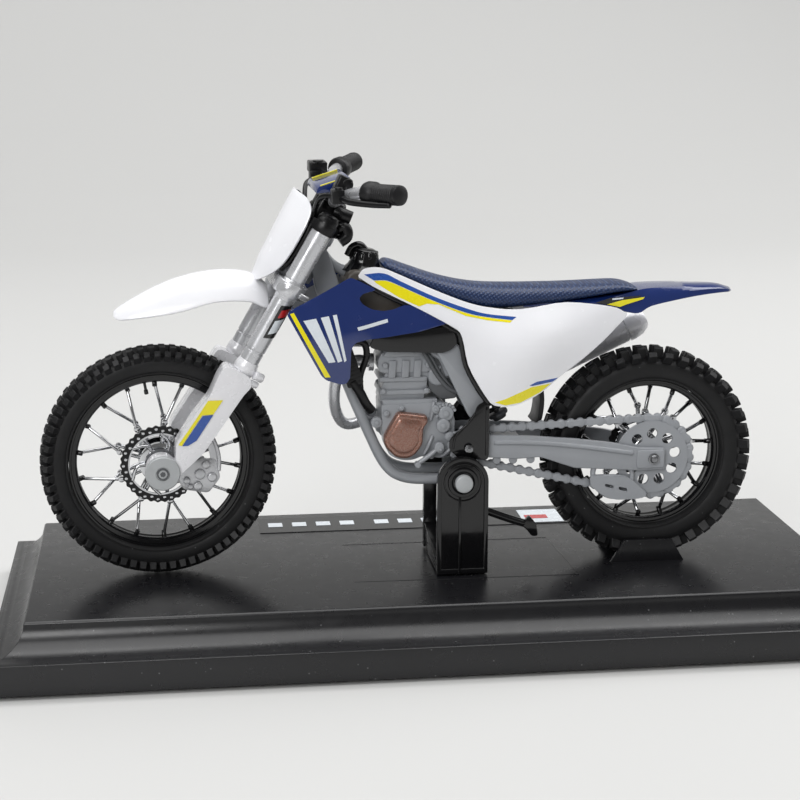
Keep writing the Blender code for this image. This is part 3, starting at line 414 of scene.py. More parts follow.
def finish(name, colour, roughness, metallic=0.0, drift="", drift_mm=6.0, grain_mm=0.25, grain=0.006,
           coat=0.0, ior=1.5, rough_drift=0.08, specks=0.0, flakes=0.0, sheen=0.0):
    """A moulded, lacquered or cast finish. drift is the second colour that it wanders toward."""
    made = bpy.data.materials.new(name)
    made.use_nodes = True
    tree = made.node_tree
    shader = tree.nodes["Principled BSDF"]
    shader.inputs["Metallic"].default_value = metallic
    shader.inputs["Coat Weight"].default_value = coat
    shader.inputs["Coat Roughness"].default_value = 0.06
    shader.inputs["Sheen Weight"].default_value = sheen
    if not metallic:
        shader.inputs["IOR"].default_value = ior
    place = add(tree, "Attribute", attribute_name="drawn").outputs["Vector"]
    wander = add(tree, "TexNoise", {"Vector": place, "Scale": 1.0 / drift_mm, "Detail": 4.0, "Roughness": 0.6})
    mix = add(tree, "Mix", {0: wander.outputs[0], 6: linear(colour),
                            7: linear(drift or colour)}, data_type="RGBA")
    tint = mix.outputs[2]
    if specks:
        cells = add(tree, "TexVoronoi", {"Vector": place, "Scale": 0.55})
        dot = add(tree, "MapRange", {"Value": cells.outputs["Distance"], "From Min": 0.0, "From Max": 0.09,
                                     "To Min": specks, "To Max": 0.0})
        tint = add(tree, "Mix", {0: dot.outputs["Result"], 6: tint, 7: linear("#9a9a9c")},
                   data_type="RGBA").outputs[2]
    if flakes:
        glitter = add(tree, "TexVoronoi", {"Vector": place, "Scale": 9.0})
        lift = add(tree, "MapRange", {"Value": glitter.outputs["Distance"], "From Min": 0.1, "From Max": 0.6,
                                      "To Min": flakes, "To Max": 0.0})
        tint = add(tree, "Mix", {0: lift.outputs["Result"], 6: tint, 7: linear("#ffffff")},
                   data_type="RGBA").outputs[2]
    tree.links.new(tint, shader.inputs["Base Color"])
    smear = add(tree, "TexNoise", {"Vector": place, "Scale": 0.45, "Detail": 3.0})
    spread = add(tree, "MapRange", {"Value": smear.outputs[0], "From Min": 0.3, "From Max": 0.7,
                                    "To Min": roughness - rough_drift, "To Max": roughness + rough_drift})
    tree.links.new(spread.outputs["Result"], shader.inputs["Roughness"])
    fine = add(tree, "TexNoise", {"Vector": place, "Scale": 1.0 / grain_mm, "Detail": 2.0})
    bump = add(tree, "Bump", {"Height": fine.outputs[0], "Strength": 0.6, "Distance": grain * MM})
    tree.links.new(bump.outputs["Normal"], shader.inputs["Normal"])
    return made


# %% [markdown]
# ## Plastics and paints
# Polystyrene and ABS come out of polished moulds, so their roughness is low and their grain fine. The
# frame and the engine are zinc, sprayed grey. A thin clear coat on the shader stands for a lacquer's
# skin. Matt blacks have a slightly lower IOR, because soft light would otherwise turn them grey. Specks
# of dust lie on the plinth and the tyres, drawn larger than real dust so that they show.

# %% plastics and lacquers
# a broad, soft sheen that shows how large and flat the plinth is
BLACK_BASE = finish("satin_black_polystyrene", "#111113", 0.29, drift="#18181b", drift_mm=14, grain_mm=0.3,
                    grain=0.0022, specks=0.5, rough_drift=0.03)
# nearly matt, so that small black parts read as shapes instead of highlights
BLACK = finish("black_abs", "#0a0a0b", 0.32, drift="#131315", grain_mm=0.35, grain=0.01, ior=1.38)
# sharp reflections that pick out thin edges
GLOSS_BLACK = finish("gloss_black_abs", "#0b0b0c", 0.12, drift="#121214", grain=0.002, rough_drift=0.04)
# a clean highlight over soft shading, as on thick white plastic
WHITE = finish("white_gloss_abs", "#f1f1f4", 0.2, drift="#e6e7ec", drift_mm=12, grain_mm=0.6, grain=0.003,
               coat=0.4)
# a deep colour under a mirror-like skin
BLUE = finish("blue_lacquer_on_abs", "#12275f", 0.2, drift="#152c6a", drift_mm=9, grain_mm=0.8, grain=0.002,
              coat=0.8)
# duller than the panels, so that the seat reads as a cover
NAVY = finish("navy_seat_vinyl", "#101f40", 0.42, drift="#14264b", drift_mm=5)
# an even, softly shining skin over all the castings
GREY = finish("grey_lacquered_zinc", "#8d9095", 0.38, drift="#9a9da2", drift_mm=5, grain_mm=0.3, grain=0.008,
              coat=0.25)
# a quiet tone between the grey castings and the black parts
GREY_DARK = finish("dark_grey_abs", "#4b4d50", 0.45, drift="#5b5d60", drift_mm=4)
# a brownish painted shadow colour for the tank, which keeps the middle of the model from looking empty
SHADE_BROWN = finish("painted_shade_brown_abs", "#5b554e", 0.45, drift="#3b3733", drift_mm=6)
# a plain grey that sets the inner rim off from the blue
LINER = finish("unpainted_grey_abs", "#77797e", 0.4, drift="#85878c", drift_mm=8)
# a warm sparkle; its flakes are about 0.1 mm wide, coarser than real ones, so that they show
BRONZE = finish("bronze_metallic_lacquer", "#8a5a45", 0.3, 0.55, drift="#7b4c39", drift_mm=4, flakes=0.25,
                coat=0.5)
# bright tubes with long, stretched highlights
SILVER = finish("bright_silver_lacquer", "#cfd0d3", 0.26, 0.5, drift="#c2c3c7", drift_mm=5, grain_mm=0.5,
                grain=0.0012, coat=0.4)
# a pale skin, weakly metallic, that greys in the shade
PEARL = finish("pearl_silver_lacquer", "#e9e9ec", 0.27, 0.12, drift="#dfdfe3", drift_mm=6, grain_mm=0.6,
               grain=0.001, coat=0.4)
print("plastics and lacquers:", len(bpy.data.materials))

# %% [markdown]
# ## Metals, chrome and rubber
# Turned steel and vacuum-plated plastic are fully metallic. Rubber is rough, nearly black and has a
# coarse grain from the mould. Its grain is drawn at 0.3 to 0.4 mm, coarser than the real one, to show.

# %% metals and rubber
# small glints of light and dark on screws and spindles
STEEL = finish("turned_steel", "#8f9092", 0.28, 1.0, drift="#7c7d80", drift_mm=3)
# a pale disc that stands out from the black around it
PIN = finish("pale_zinc_pin", "#b4b7b9", 0.4, 0.25, drift="#a6a9ab", drift_mm=3, coat=0.2)
# mirrors light and dark side by side, which makes thin spokes sparkle
CHROME = finish("vacuum_chrome_on_abs", "#cfd0d2", 0.1, 1.0, drift="#bebfc2", drift_mm=4, grain=0.003,
                rough_drift=0.05)
# a dull, faintly dusty black for the side walls
RUBBER = finish("tyre_rubber", "#0d0d0e", 0.55, drift="#141416", drift_mm=7, grain_mm=0.4, grain=0.012,
                specks=0.35, sheen=0.05, ior=1.4)
# a little lighter and coarser than the side walls, as scuffed tread is
KNOB = finish("tread_rubber", "#0f0f10", 0.5, drift="#1a1a1c", drift_mm=2.0, grain_mm=0.3, grain=0.02, ior=1.4)
# a rough black with hardly any highlight
GRIP = finish("grip_rubber", "#0f0f11", 0.46, drift="#1b1b1d", drift_mm=2.0, grain_mm=0.35, grain=0.03, ior=1.4)
print("with metals and rubber:", len(bpy.data.materials))

# %% [markdown]
# ## Printing inks
# Stripes are pad printed: a flat, even film of ink under the same clear coat as the panel.

# %% inks
# the inks are flat, strong colours with the panel's own gloss
YELLOW_INK = finish("yellow_pad_print", "#ece012", 0.25, drift="#e6d90f", coat=0.4, grain=0.002)
BLUE_INK = finish("blue_pad_print", "#234c98", 0.25, drift="#2850a0", coat=0.4, grain=0.002)
WHITE_INK = finish("white_pad_print", "#dfe5ea", 0.25, drift="#d4dbe2", coat=0.4, grain=0.002)
BLACK_INK = finish("black_pad_print", "#121214", 0.25, drift="#18181a", coat=0.4, grain=0.002)
RED_INK = finish("red_pad_print", "#c3262b", 0.25, drift="#b52227", coat=0.4, grain=0.002)
print("all finishes:", len(bpy.data.materials))

# %% [markdown]
# ## The seat's pressed weave
# The real vinyl has a fine weave pressed into it. Two crossing sine waves multiplied give the small
# raised cells. Their pitch is about half a millimetre, several times coarser than the real weave, so
# that it shows. The same waves also pale the tops of the cells, as a painted highlight on each raised cell.


# %% woven seat cover
def ribbed(made, pitch=0.48, depth=0.05):
    """Crossing ribs at a pitch and a depth in millimetres, pressed into a finish."""
    tree = made.node_tree
    place = add(tree, "Attribute", attribute_name="drawn").outputs["Vector"]
    turned = add(tree, "Mapping", {"Vector": place, "Rotation": (0.0, math.radians(38), 0.0)})
    waves = add(tree, "TexWave", {"Vector": turned.outputs["Vector"], "Scale": math.tau / pitch / 20,
                                  "Distortion": 0.0}, bands_direction="X")
    crossing = add(tree, "Mapping", {"Vector": place, "Rotation": (0.0, math.radians(-62), 0.0)})
    ticks = add(tree, "TexWave", {"Vector": crossing.outputs["Vector"], "Scale": math.tau / pitch / 20},
                bands_direction="X")
    both = add(tree, "Math", {0: waves.outputs[1], 1: ticks.outputs[1]}, operation="MULTIPLY")
    bump = add(tree, "Bump", {"Height": both.outputs["Value"], "Strength": 1.0, "Distance": depth * MM})
    shader = tree.nodes["Principled BSDF"]
    tree.links.new(bump.outputs["Normal"], shader.inputs["Normal"])
    tint = shader.inputs["Base Color"].links[0].from_socket
    # the raised tops of the cells are paled toward a light blue: a painted highlight
    highlight_share = add(tree, "Math", {0: both.outputs["Value"], 1: 0.4}, operation="MULTIPLY")
    pale = add(tree, "Mix", {0: highlight_share.outputs["Value"], 6: tint, 7: linear("#3f5c8c")}, data_type="RGBA")
    tree.links.new(pale.outputs[2], shader.inputs["Base Color"])


ribbed(NAVY)
print("nodes in the seat's finish:", len(NAVY.node_tree.nodes))

# %% [markdown]
# ## Camera
# A long lens from the motorcycle's left, a little ahead and above, shows it almost in profile. The
# camera could be aimed with a constraint, but three angles say exactly where it looks.

# %% camera
CAMERA_AT = Vector((-44.31, -292.64, 105.96)) * MM
YAW = math.radians(7.547)
PITCH = math.radians(12.905)
ROLL = math.radians(0.135)
look = Vector((math.sin(YAW) * math.cos(PITCH), math.cos(YAW) * math.cos(PITCH), -math.sin(PITCH)))
level = Vector((math.cos(YAW), -math.sin(YAW), 0.0))
upright = level.cross(look)
right = level * math.cos(ROLL) + upright * math.sin(ROLL)
above = upright * math.cos(ROLL) - level * math.sin(ROLL)
camera = bpy.data.objects.new("camera", bpy.data.cameras.new("camera"))
camera.matrix_world = Matrix((
    (right.x, above.x, -look.x, CAMERA_AT.x), (right.y, above.y, -look.y, CAMERA_AT.y),
    (right.z, above.z, -look.z, CAMERA_AT.z), (0, 0, 0, 1)))
camera.data.lens = 79.7
camera.data.sensor_width = 36.0
camera.data.clip_start = 0.01
camera.data.clip_end = 20.0
bpy.context.scene.collection.objects.link(camera)
bpy.context.scene.camera = camera
print("camera", tuple(round(v, 3) for v in camera.location), "lens", camera.data.lens)

# %% [markdown]
# ## Floor
# The floor is one sheet of pale studio paper that curves up behind the model, so that no edge shows.
# Its fibres only shift the tone a little.

# %% floor
BEND_AT, BEND = 0.45, 0.5
FLOOR_REACH = 5.0
WALL_HEIGHT = 2.2
sweep = [(-FLOOR_REACH, 0.0), (BEND_AT, 0.0)]
sweep += [(BEND_AT + BEND * math.sin(a), BEND - BEND * math.cos(a)) for a in np.linspace(0.1, math.pi / 2, 12)]
sweep.append((BEND_AT + BEND, WALL_HEIGHT))
floor_data = bpy.data.meshes.new("floor")
floor_points = [(x, y, z) for y, z in sweep for x in (-FLOOR_REACH, FLOOR_REACH)]
floor_faces = [(2 * k, 2 * k + 1, 2 * k + 3, 2 * k + 2) for k in range(len(sweep) - 1)]
floor_data.from_pydata(floor_points, [], floor_faces)
floor_data.shade_smooth()
floor = bpy.data.objects.new("floor", floor_data)
bpy.context.scene.collection.objects.link(floor)
# a matt, almost even ground on which soft shadows show
paper = bpy.data.materials.new("pale_studio_paper")
paper.use_nodes = True
paper_tree = paper.node_tree
fibre = add(paper_tree, "TexNoise", {"Scale": 9.0, "Detail": 3.0})
paper_mix = add(paper_tree, "Mix", {0: fibre.outputs[0], 6: linear("#c3c3c2"),
                                    7: linear("#c8c8c7")}, data_type="RGBA")
paper_tree.links.new(paper_mix.outputs[2], paper_tree.nodes["Principled BSDF"].inputs["Base Color"])
paper_tree.nodes["Principled BSDF"].inputs["Roughness"].default_value = 0.6
floor.data.materials.append(paper)
print("floor faces:", len(floor_data.polygons))

# %% [markdown]
# ## Light
# Large rectangular lamps stand for softboxes. The one overhead does most of the work, the ones in front
# and behind draw long clean highlights on the gloss, and one lights only the paper behind. A weak pale
# world keeps the shadows open.


# %% lights
def soft_light(name, at, toward, size, power):
    """A rectangular lamp at a place, aimed at another, its size in metres and its power in watts."""
    data = bpy.data.lights.new(name, "AREA")
    data.shape = "RECTANGLE"
    data.size, data.size_y = size
    data.energy = power
    lamp = bpy.data.objects.new(name, data)
    lamp.location = at
    lamp.rotation_euler = (Vector(toward) - Vector(at)).to_track_quat("-Z", "Y").to_euler()
    bpy.context.scene.collection.objects.link(lamp)


soft_light("overhead_softbox", (0.0, -0.02, 0.8), (0.0, 0.0, 0.0), (1.1, 0.8), 7.9)
soft_light("front_softbox", (-0.5, -0.8, 0.5), (0.0, 0.0, 0.05), (0.5, 0.4), 4.6)
soft_light("rear_softbox", (0.6, 0.25, 0.45), (0.0, 0.0, 0.05), (0.4, 0.5), 1.9)
soft_light("backdrop_light", (0.0, 0.3, 0.95), (0.0, 0.95, 0.3), (1.8, 0.25), 3.4)
world = bpy.data.worlds.new("studio")
world.use_nodes = True
world.node_tree.nodes["Background"].inputs["Color"].default_value = linear("#f0efec")
world.node_tree.nodes["Background"].inputs["Strength"].default_value = 0.2
bpy.context.scene.world = world
bpy.context.scene.view_settings.view_transform = "Standard"

# %% [markdown]
# ## Display base
# The plinth is one injection moulding: a straight rim, a hollow cove and a flat top with faint scored
# lines. It could be a bevelled box, but the cove is the shape that catches the light, so the section
# is lofted through square rings that step in along a quarter circle.

# %% plinth
TOP_HALF = (67.8, 26.6)
SPREAD = 5.8
TOP = 10.0
RIM = 4.9


def plinth_ring(spread, z):
    half = (TOP_HALF[0] + spread, TOP_HALF[1] + spread)
    return [(sx * half[0], sy * half[1], z) for sx, sy in ((-1, -1), (1, -1), (1, 1), (-1, 1))]


cove_steps = 14
cove_foot = RIM + 0.2
plinth = Shape()
rings = [plinth_ring(SPREAD, 0.0), plinth_ring(SPREAD, RIM), plinth_ring(SPREAD - 0.6, cove_foot)]
for k in range(1, cove_steps + 1):
    turn = math.pi / 2 * k / cove_steps
    rings.append(plinth_ring((SPREAD - 0.9) * (1 - math.sin(turn)) + 0.3,
                             cove_foot + (TOP - 0.3 - cove_foot) * (1 - math.cos(turn))))
rings.append(plinth_ring(0.0, TOP))
plinth.loft(rings)
for side_x in (-1, 1):
    for side_y in (-1, 1):
        foot = (side_x * (TOP_HALF[0] + SPREAD - 8.0), side_y * (TOP_HALF[1] + SPREAD - 6.0))
        plinth.block((*foot, 0.0), (10.0, 6.0, 1.4))
MID = -4.25
for side in (-1, 1):
    near, far = MID + side * 3.95, MID + side * 4.65
    plinth.prism([(29.7, TOP - 0.4), (43.1, TOP - 0.4), (40.6, 13.8), (32.2, 13.8)], near, far)
for (x0, y0), (x1, y1) in (((-15, -14), (23, -14.6)), ((23, -14.6), (22, 6.5)), ((-15, 6.5), (22, 6.5))):
    start, end = Vector((x0, y0, 0)), Vector((x1, y1, 0))
    across = Vector((y0 - y1, x1 - x0, 0)).normalized() * 0.12
    line = [start - across, end - across, end + across, start + across]
    plinth.loft([[point + Vector((0, 0, z)) for point in line] for z in (TOP - 0.3, TOP + 0.06)])
make("plinth_moulding", plinth, BLACK_BASE, replaces=["plinth"], bevel=0.16, place=PLINTH, angle=28)

# %% [markdown]
# ## A blank label
# A glossy strip lies on the back of the plinth. It carries plain bars, a pale patch and a red dash, all
# without words. Each print is a film a little above the last one, so that none of them flicker.

# %% label strip
LABEL_Y = 19.6
make("blank_label_strip", Shape().block((-0.5, LABEL_Y, TOP + 0.06), (57.0, 9.0, 0.1)), GLOSS_BLACK,
     on="plinth", bevel=0.03, steps=1, place=PLINTH)
strokes = Shape()
for k in range(9):
    word_gap = 2.0 if k > 3 else 0.0
    strokes.block((-26.0 + 4.4 * k + word_gap, LABEL_Y, TOP + 0.14), (2.6, 2.4, 0.08))
make("blank_label_bars", strokes, WHITE_INK, on="plinth", place=PLINTH)
for name, at, size, ink in (("patch", (23.5, LABEL_Y, TOP + 0.14), (7.5, 8.0, 0.08), WHITE_INK),
                            ("dash", (22.6, 19.0, TOP + 0.2), (4.2, 2.2, 0.06), RED_INK)):
    make("blank_label_" + name, Shape().block(at, size), ink, on="plinth", place=PLINTH)

# %% [markdown]
# ## Bracket and pegs
# A black clip holds the model by two pegs below its frame. Its arms are flat mouldings with round tops
# and a raised collar around each peg.

# %% bracket
PEG = (3.4, 26.2)
ARM_HALF = 4.3
bracket = Shape()
arm = [(PEG[0] - ARM_HALF, TOP + 0.3), (PEG[0] + ARM_HALF, TOP + 0.3)] + arc(PEG, ARM_HALF, 0, 180, 24)
inset = [(PEG[0] - ARM_HALF + 0.7, TOP + 1.2), (PEG[0] + ARM_HALF - 0.7, TOP + 1.2)]
inset += arc(PEG, ARM_HALF - 0.7, 0, 180, 24)
for side in (-1, 1):
    bracket.prism(arm, side * 7.2, side * 8.4)
    bracket.loft([[(x, side * y, z) for x, z, y in ((*a, 8.3), (*a, 8.62), (*b, 8.62), (*b, 8.3))]
                  for a, b in zip(arm, inset)], wrap=True)
    collar = Vector((PEG[0], 0.0, PEG[1]))
    bracket.hoop(collar, [(1.62, side * 8.3), (2.6, side * 8.3), (2.5, side * 8.75), (1.9, side * 8.75)], 48)
    bracket.hoop(collar, [(3.0, side * 8.3), (3.3, side * 8.3), (3.25, side * 8.6), (3.05, side * 8.6)], 48)
    bracket.prism([(PEG[0] - 0.7, TOP + 0.3), (PEG[0] - 0.3, TOP + 0.3), (PEG[0] - 0.3, 23.9),
                   (PEG[0] - 0.7, 23.9)], side * 8.3, side * 8.75)
bracket.loft([[(x, -7.3, TOP + 0.3), (x, 7.3, TOP + 0.3), (x, 7.3, TOP + 4.9), (x, -7.3, TOP + 1.7)]
              for x in (PEG[0] - ARM_HALF + 0.1, PEG[0] + ARM_HALF - 0.1)])
make("stand_clip", bracket, GLOSS_BLACK, replaces=["stand_bracket"], bevel=0.12)
for side, word in SIDES:
    peg = Shape()
    peg.turned((PEG[0], side * 4.9, PEG[1]), (PEG[0], side * 10.0, PEG[1]), [
        (0, 1.0), (0.1, 1.2), (3.95, 1.2), (3.97, 1.5), (4.75, 1.5), (4.9, 1.42), (4.98, 1.25), (5.0, 0.2)])
    make("clip_peg_" + word, peg, PIN, replaces=["stand_peg_" + word])

# %% [markdown]
# ## Frame
# The frame is cast in one piece and sprayed grey: two cradle tubes under the engine, two flat spars
# over it and the steering head. Tubes are swept along smooth routes and the spars are rounded plates.

# %% frame
spar = [(-16.5, 51.6), (-1.2, 50.6), (2.6, 49.4), (7.6, 38.8), (7.6, 36.2), (5.0, 36.2), (-0.6, 47.6),
        (-2.0, 48.6), (-15.5, 49.0)]
frame_shape = Shape()
frame_shape.turned(fork_point(2.3, STEM_OFFSET, 0), fork_point(10.9, STEM_OFFSET, 0), [
    (0, 1.8), (0.15, 1.95), (1.4, 1.95), (1.6, 1.75), (7.0, 1.75), (7.2, 1.95), (8.45, 1.95), (8.6, 1.8)])
frame_shape.prism([(-21.0, 61.6), (-19.7, 64.6), (-18.2, 64.2), (-14.2, 52.0), (-14.2, 48.8), (-16.8, 48.8),
                   (-20.2, 57.4)], -1.3, 1.3)
frame_shape.tube([(-19.4, 0.0, 64.3), (-17.8, 0.0, 62.2), (-15.8, 0.0, 60.9), (-13.6, 0.0, 60.2)], 0.85)
frame_shape.cross_rod((-15.4, 50.3), 1.1, -5.2, 5.2)
frame_shape.cross_rod((4.9, 25.9), 0.85, -3.7, 3.7)
frame_shape.cross_rod(seen(SHOCK_TOP), 0.75, -5.0, 5.0)
for side in (-1, 1):
    frame_shape.prism(rounded(spar, 0.9), side * 4.15, side * 5.4)
    frame_shape.tube([
        (-16.4, side * 1.9, 50.6), (-15.5, side * 2.6, 43.5), (-12.2, side * 3.1, 35.0),
        (-9.0, side * 3.3, 28.4), (-5.6, side * 3.5, 26.1), (0.0, side * 3.5, 25.7),
        (5.6, side * 3.5, 25.9)], 0.92, 20, 8)
    frame_shape.prism([(3.6, 42.4), (4.2, 44.4), (7.4, 43.9), (7.2, 42.8)], side * 4.4, side * 5.2)
frame_shape.prism([(2.8, 21.0), (5.2, 21.0), (5.4, 25.8), (2.6, 25.8)], -4.1, -3.0)
make("cast_frame", frame_shape, GREY, replaces=["frame"], bevel=0.25, angle=50)

# %% [markdown]
# ## Pivot covers and screw
# Two black covers hide the ends of the swingarm's pivot. A raised bead along the edge stiffens the real
# moulding and catches the light, so it is swept as its own tube.

# %% pivot covers
plate_outline = [(2.9, 29.9), (7.7, 29.5), (8.0, 30.2), (8.0, 39.0), (7.3, 39.6), (5.9, 38.8), (5.4, 37.2),
                 (3.8, 35.3), (2.2, 34.2), (1.3, 33.0), (1.3, 31.4)]
for side, word in SIDES:
    cover = Shape()
    cover.prism(rounded(plate_outline, 0.5), side * 6.4, side * 6.8)
    ridge = smooth_route([(5.6, 37.6), (4.3, 35.8), (2.4, 33.9), (1.9, 31.6)], 6)
    cover.tube([(x, side * 6.8, z) for x, z in ridge], 0.22, 8, 1)
    cover.tube([(7.55, side * 6.8, 38.6), (7.55, side * 6.8, 34.0), (7.5, side * 6.8, 30.3)], 0.2, 8, 4)
    make("pivot_cover_" + word, cover, GLOSS_BLACK, replaces=["side_plate_" + word], bevel=0.1)
bolt = Shape()
for side in (-1, 1):
    bolt.cross_rod(seen(PIVOT), 0.75, side * 7.0, side * 7.55, 0.25)
    bolt.cross_rod(seen(PIVOT), 0.35, side * 7.4, side * 7.65, 0.1, 6)
bolt.cross_rod(seen(PIVOT), 0.5, -7.1, 7.1)
make("pivot_screw", bolt, STEEL, replaces=["swingarm_pivot_bolt"])

# %% [markdown]
# ## Engine
# On the real model this is a single grey casting with many small steps: case, cylinder, head, bosses
# and screw heads. It is built from the main outlines first, then the small forms that give it scale.

# %% crankcase
CRANK = (-5.4, 34.0)
case = [(-9.6, 34.5), (-8.8, 31.6)] + arc(CRANK, 4.8, 228, 300, 8)
case += [(0.9, 29.4), (2.4, 31.0), (2.6, 36.4), (0.6, 39.0), (-9.8, 38.9)]
cover_outline = arc((-5.9, 34.1), 3.9, -150, 100, 20) + [(-8.6, 37.6), (-9.6, 35.8), (-9.7, 32.4)]
engine = Shape()
engine.prism(rounded(case, 0.6), -4.0, 4.0)
engine.prism(rounded(case, 0.8), -4.35, -3.8)
engine.prism(cover_outline, 3.8, 6.0)
for x, z, radius, reach in ((0.5, 35.2, 1.15, 5.4), (1.0, 37.2, 1.3, 5.0), (0.0, 31.2, 0.7, 5.6),
                            (-0.8, 38.0, 0.7, 5.2), (1.6, 33.3, 0.8, 5.2), (-9.0, 37.4, 0.55, 5.0),
                            (-10.6, 35.9, 0.95, 4.6), (-1.4, 29.9, 0.5, 4.9), (-6.4, 38.2, 0.5, 4.9)):
    for side in (-1, 1):
        engine.cross_rod((x, z), radius, side * 3.8, side * reach, 0.2)
        engine.cross_rod((x, z), radius * 0.45, side * reach, side * (reach + 0.25), 0.08, 6)
for k in range(9):
    tooth = math.radians(20 + 22 * k)
    at = (1.0 + 1.55 * math.cos(tooth), 37.2 + 1.55 * math.sin(tooth))
    engine.cross_rod(at, 0.28, -4.9, -4.0, 0.08, 10)
for x0, z0, x1, z1 in ((-2.6, 30.2, -1.2, 33.4), (-1.6, 36.0, -1.0, 39.2), (2.2, 31.4, 0.4, 29.8)):
    engine.tube([(x0, -4.4, z0), ((x0 + x1) / 2, -4.7, (z0 + z1) / 2), (x1, -4.4, z1)], 0.32, 10, 4)
engine.prism([(-9.4, 38.7), (-0.4, 38.7), (-0.4, 39.6), (-9.6, 39.6)], -4.2, 4.2)
make("engine_case", engine, GREY, replaces=["crankcase"], bevel=0.16, angle=45)

# %% cylinder and head
barrel = Shape()
barrel.prism([(-9.9, 39.2), (-2.6, 39.2), (-1.6, 44.4), (-8.9, 44.4)], -3.3, 3.3)
for z in (40.4, 42.6):
    barrel.prism(rounded([(-10.1, z), (-2.2, z), (-2.0, z + 0.75), (-9.9, z + 0.75)], 0.25), -3.75, 3.75)
for x in (-8.6, -6.4, -4.4):
    barrel.prism([(x, 43.3), (x + 1.2, 43.3), (x + 1.4, 46.2), (x + 0.2, 46.2)], -4.0, 4.0)
head = [(-10.2, 44.1), (-1.2, 44.1), (-1.0, 46.4), (-2.4, 48.1), (-8.8, 48.3), (-10.3, 46.6)]
barrel.prism(rounded(head, 1.0), -3.6, 3.6)
barrel.prism(rounded([(-9.6, 46.9), (-2.6, 46.9), (-3.4, 48.3), (-8.4, 48.5)], 0.6), -4.1, 4.1)
for x in (-9.4, -2.2):
    for side in (-1, 1):
        barrel.cross_rod((x, 41.0), 0.45, side * 3.6, side * 4.15, 0.15)
        barrel.cross_rod((x + 0.3, 45.4), 0.5, side * 3.4, side * 4.1, 0.15)
for side in (-1, 1):
    barrel.cross_rod((-0.2, 43.4), 1.7, side * 1.4, side * 3.6, 0.3)
    barrel.tube([(-2.0, side * 3.2, 47.6), (0.4, side * 3.7, 46.6), (1.6, side * 3.5, 43.6)], 0.75, 12, 4)
make("cylinder_and_head", barrel, GREY, replaces=["cylinder"], bevel=0.18, angle=45)

# %% [markdown]
# ## Ignition cover and pedal
# The bronze cover is shaped like a shield with a sunken groove inside its rim. The same outline, drawn
# smaller and smaller toward the eye, makes the dome and the groove in one loft.

# %% ignition cover and pedal
shield = rounded([(-7.2, 37.8), (-2.3, 37.1), (-2.1, 36.0), (-2.9, 35.0), (-3.0, 32.2), (-4.2, 30.5),
                  (-5.6, 29.8), (-7.5, 30.1), (-9.3, 31.9), (-9.6, 33.6)], 0.7, 4)
SHIELD_MID = (-6.0, 33.8)
shield_steps = ((-4.35, 1.0), (-5.5, 1.0), (-5.75, 0.97), (-5.92, 0.9), (-5.98, 0.82), (-5.9, 0.76),
                (-6.0, 0.72), (-6.12, 0.55), (-6.16, 0.2))
ignition = Shape().loft([
    [((x - SHIELD_MID[0]) * grow + SHIELD_MID[0], reach, (z - SHIELD_MID[1]) * grow + SHIELD_MID[1])
     for x, z in shield] for reach, grow in shield_steps])
make("ignition_cap", ignition, BRONZE, replaces=["ignition_cover"], angle=50)

pedal = Shape()
pedal.cross_rod((-0.2, 31.6), 0.85, -4.6, -5.7, 0.2)
pedal.tube([(-0.2, -5.3, 31.6), (-1.8, -5.3, 30.2), (-3.9, -5.4, 28.8)], 0.4, 12)
pedal.rod((-3.9, -5.0, 28.8), (-3.9, -6.4, 28.8), 0.5)
make("gear_pedal", pedal, GREY, replaces=["shift_lever"])

# %% [markdown]
# ## Radiators, hoses and cables
# Two black radiators stand behind the shrouds, with a hose to the engine. Their fins are thin rods laid
# side by side. Hoses and cables are moulded fast at both ends, so they are plain swept tubes.

# %% radiators, hoses and cables
radiator = [(-18.6, 51.2), (-16.0, 52.2), (-13.0, 43.4), (-15.6, 42.4)]
hose = [(-14.9, -6.9, 43.6), (-13.6, -6.6, 41.6), (-12.6, -6.0, 39.6), (-11.6, -5.2, 38.2)]
for side, word in SIDES:
    core = Shape()
    core.prism(rounded(radiator, 0.4), side * 5.7, side * 7.4)
    for k in range(14):
        t = (k + 0.7) / 14.6
        a = Vector(radiator[0]).lerp(Vector(radiator[3]), t)
        b = Vector(radiator[1]).lerp(Vector(radiator[2]), t)
        for y in (5.55, 7.3):
            core.rod((a.x, side * y, a.y), (b.x, side * y, b.y), 0.14, 0.04, 8)
    if side < 0:
        core.tube(hose, 0.8, 16)
        core.tube([(-14.6, -6.6, 50.2), (-12.9, -6.3, 49.7), (-12.4, -5.6, 47.4), (-13.4, -5.2, 44.0),
                   (-13.2, -4.8, 40.2)], 0.55, 12)
    make("radiator_core_" + word, core, BLACK, replaces=["radiator_" + word], bevel=0.12)
cables = Shape()
for y, sag in ((-4.5, 0.0), (-3.9, 0.7), (4.4, 0.2)):
    cables.tube([(-3.6, y, 49.0), (-2.2 + sag, y - 0.2, 46.6), (-0.6 + sag, y, 43.8), (1.2 + sag, y, 41.6),
                 (3.2, y + 0.2, 40.6)], 0.34, 10)
make("control_cables", cables, GREY_DARK, on="cylinder")
carburettor = Shape()
carburettor.turned((-1.0, 0.0, 44.4), (4.6, 0.0, 45.4), [
    (0, 1.8), (0.2, 2.0), (1.4, 2.0), (1.5, 2.4), (3.2, 2.4), (3.4, 2.0), (5.4, 2.0), (5.6, 1.8)])
carburettor.cross_rod((1.4, 44.2), 1.3, -3.9, 3.9, 0.3)
carburettor.block((1.3, 0.0, 42.0), (3.2, 5.0, 3.0), taper=1.3)
carburettor.prism(rounded([(-3.4, 47.9), (-0.6, 48.2), (1.8, 46.0), (3.6, 42.0), (3.0, 39.4), (0.4, 39.2),
                           (-1.6, 41.0), (-2.2, 45.0)], 0.6), -3.3, 3.3)
make("throttle_body", carburettor, GREY_DARK, on="cylinder", bevel=0.2, angle=45)

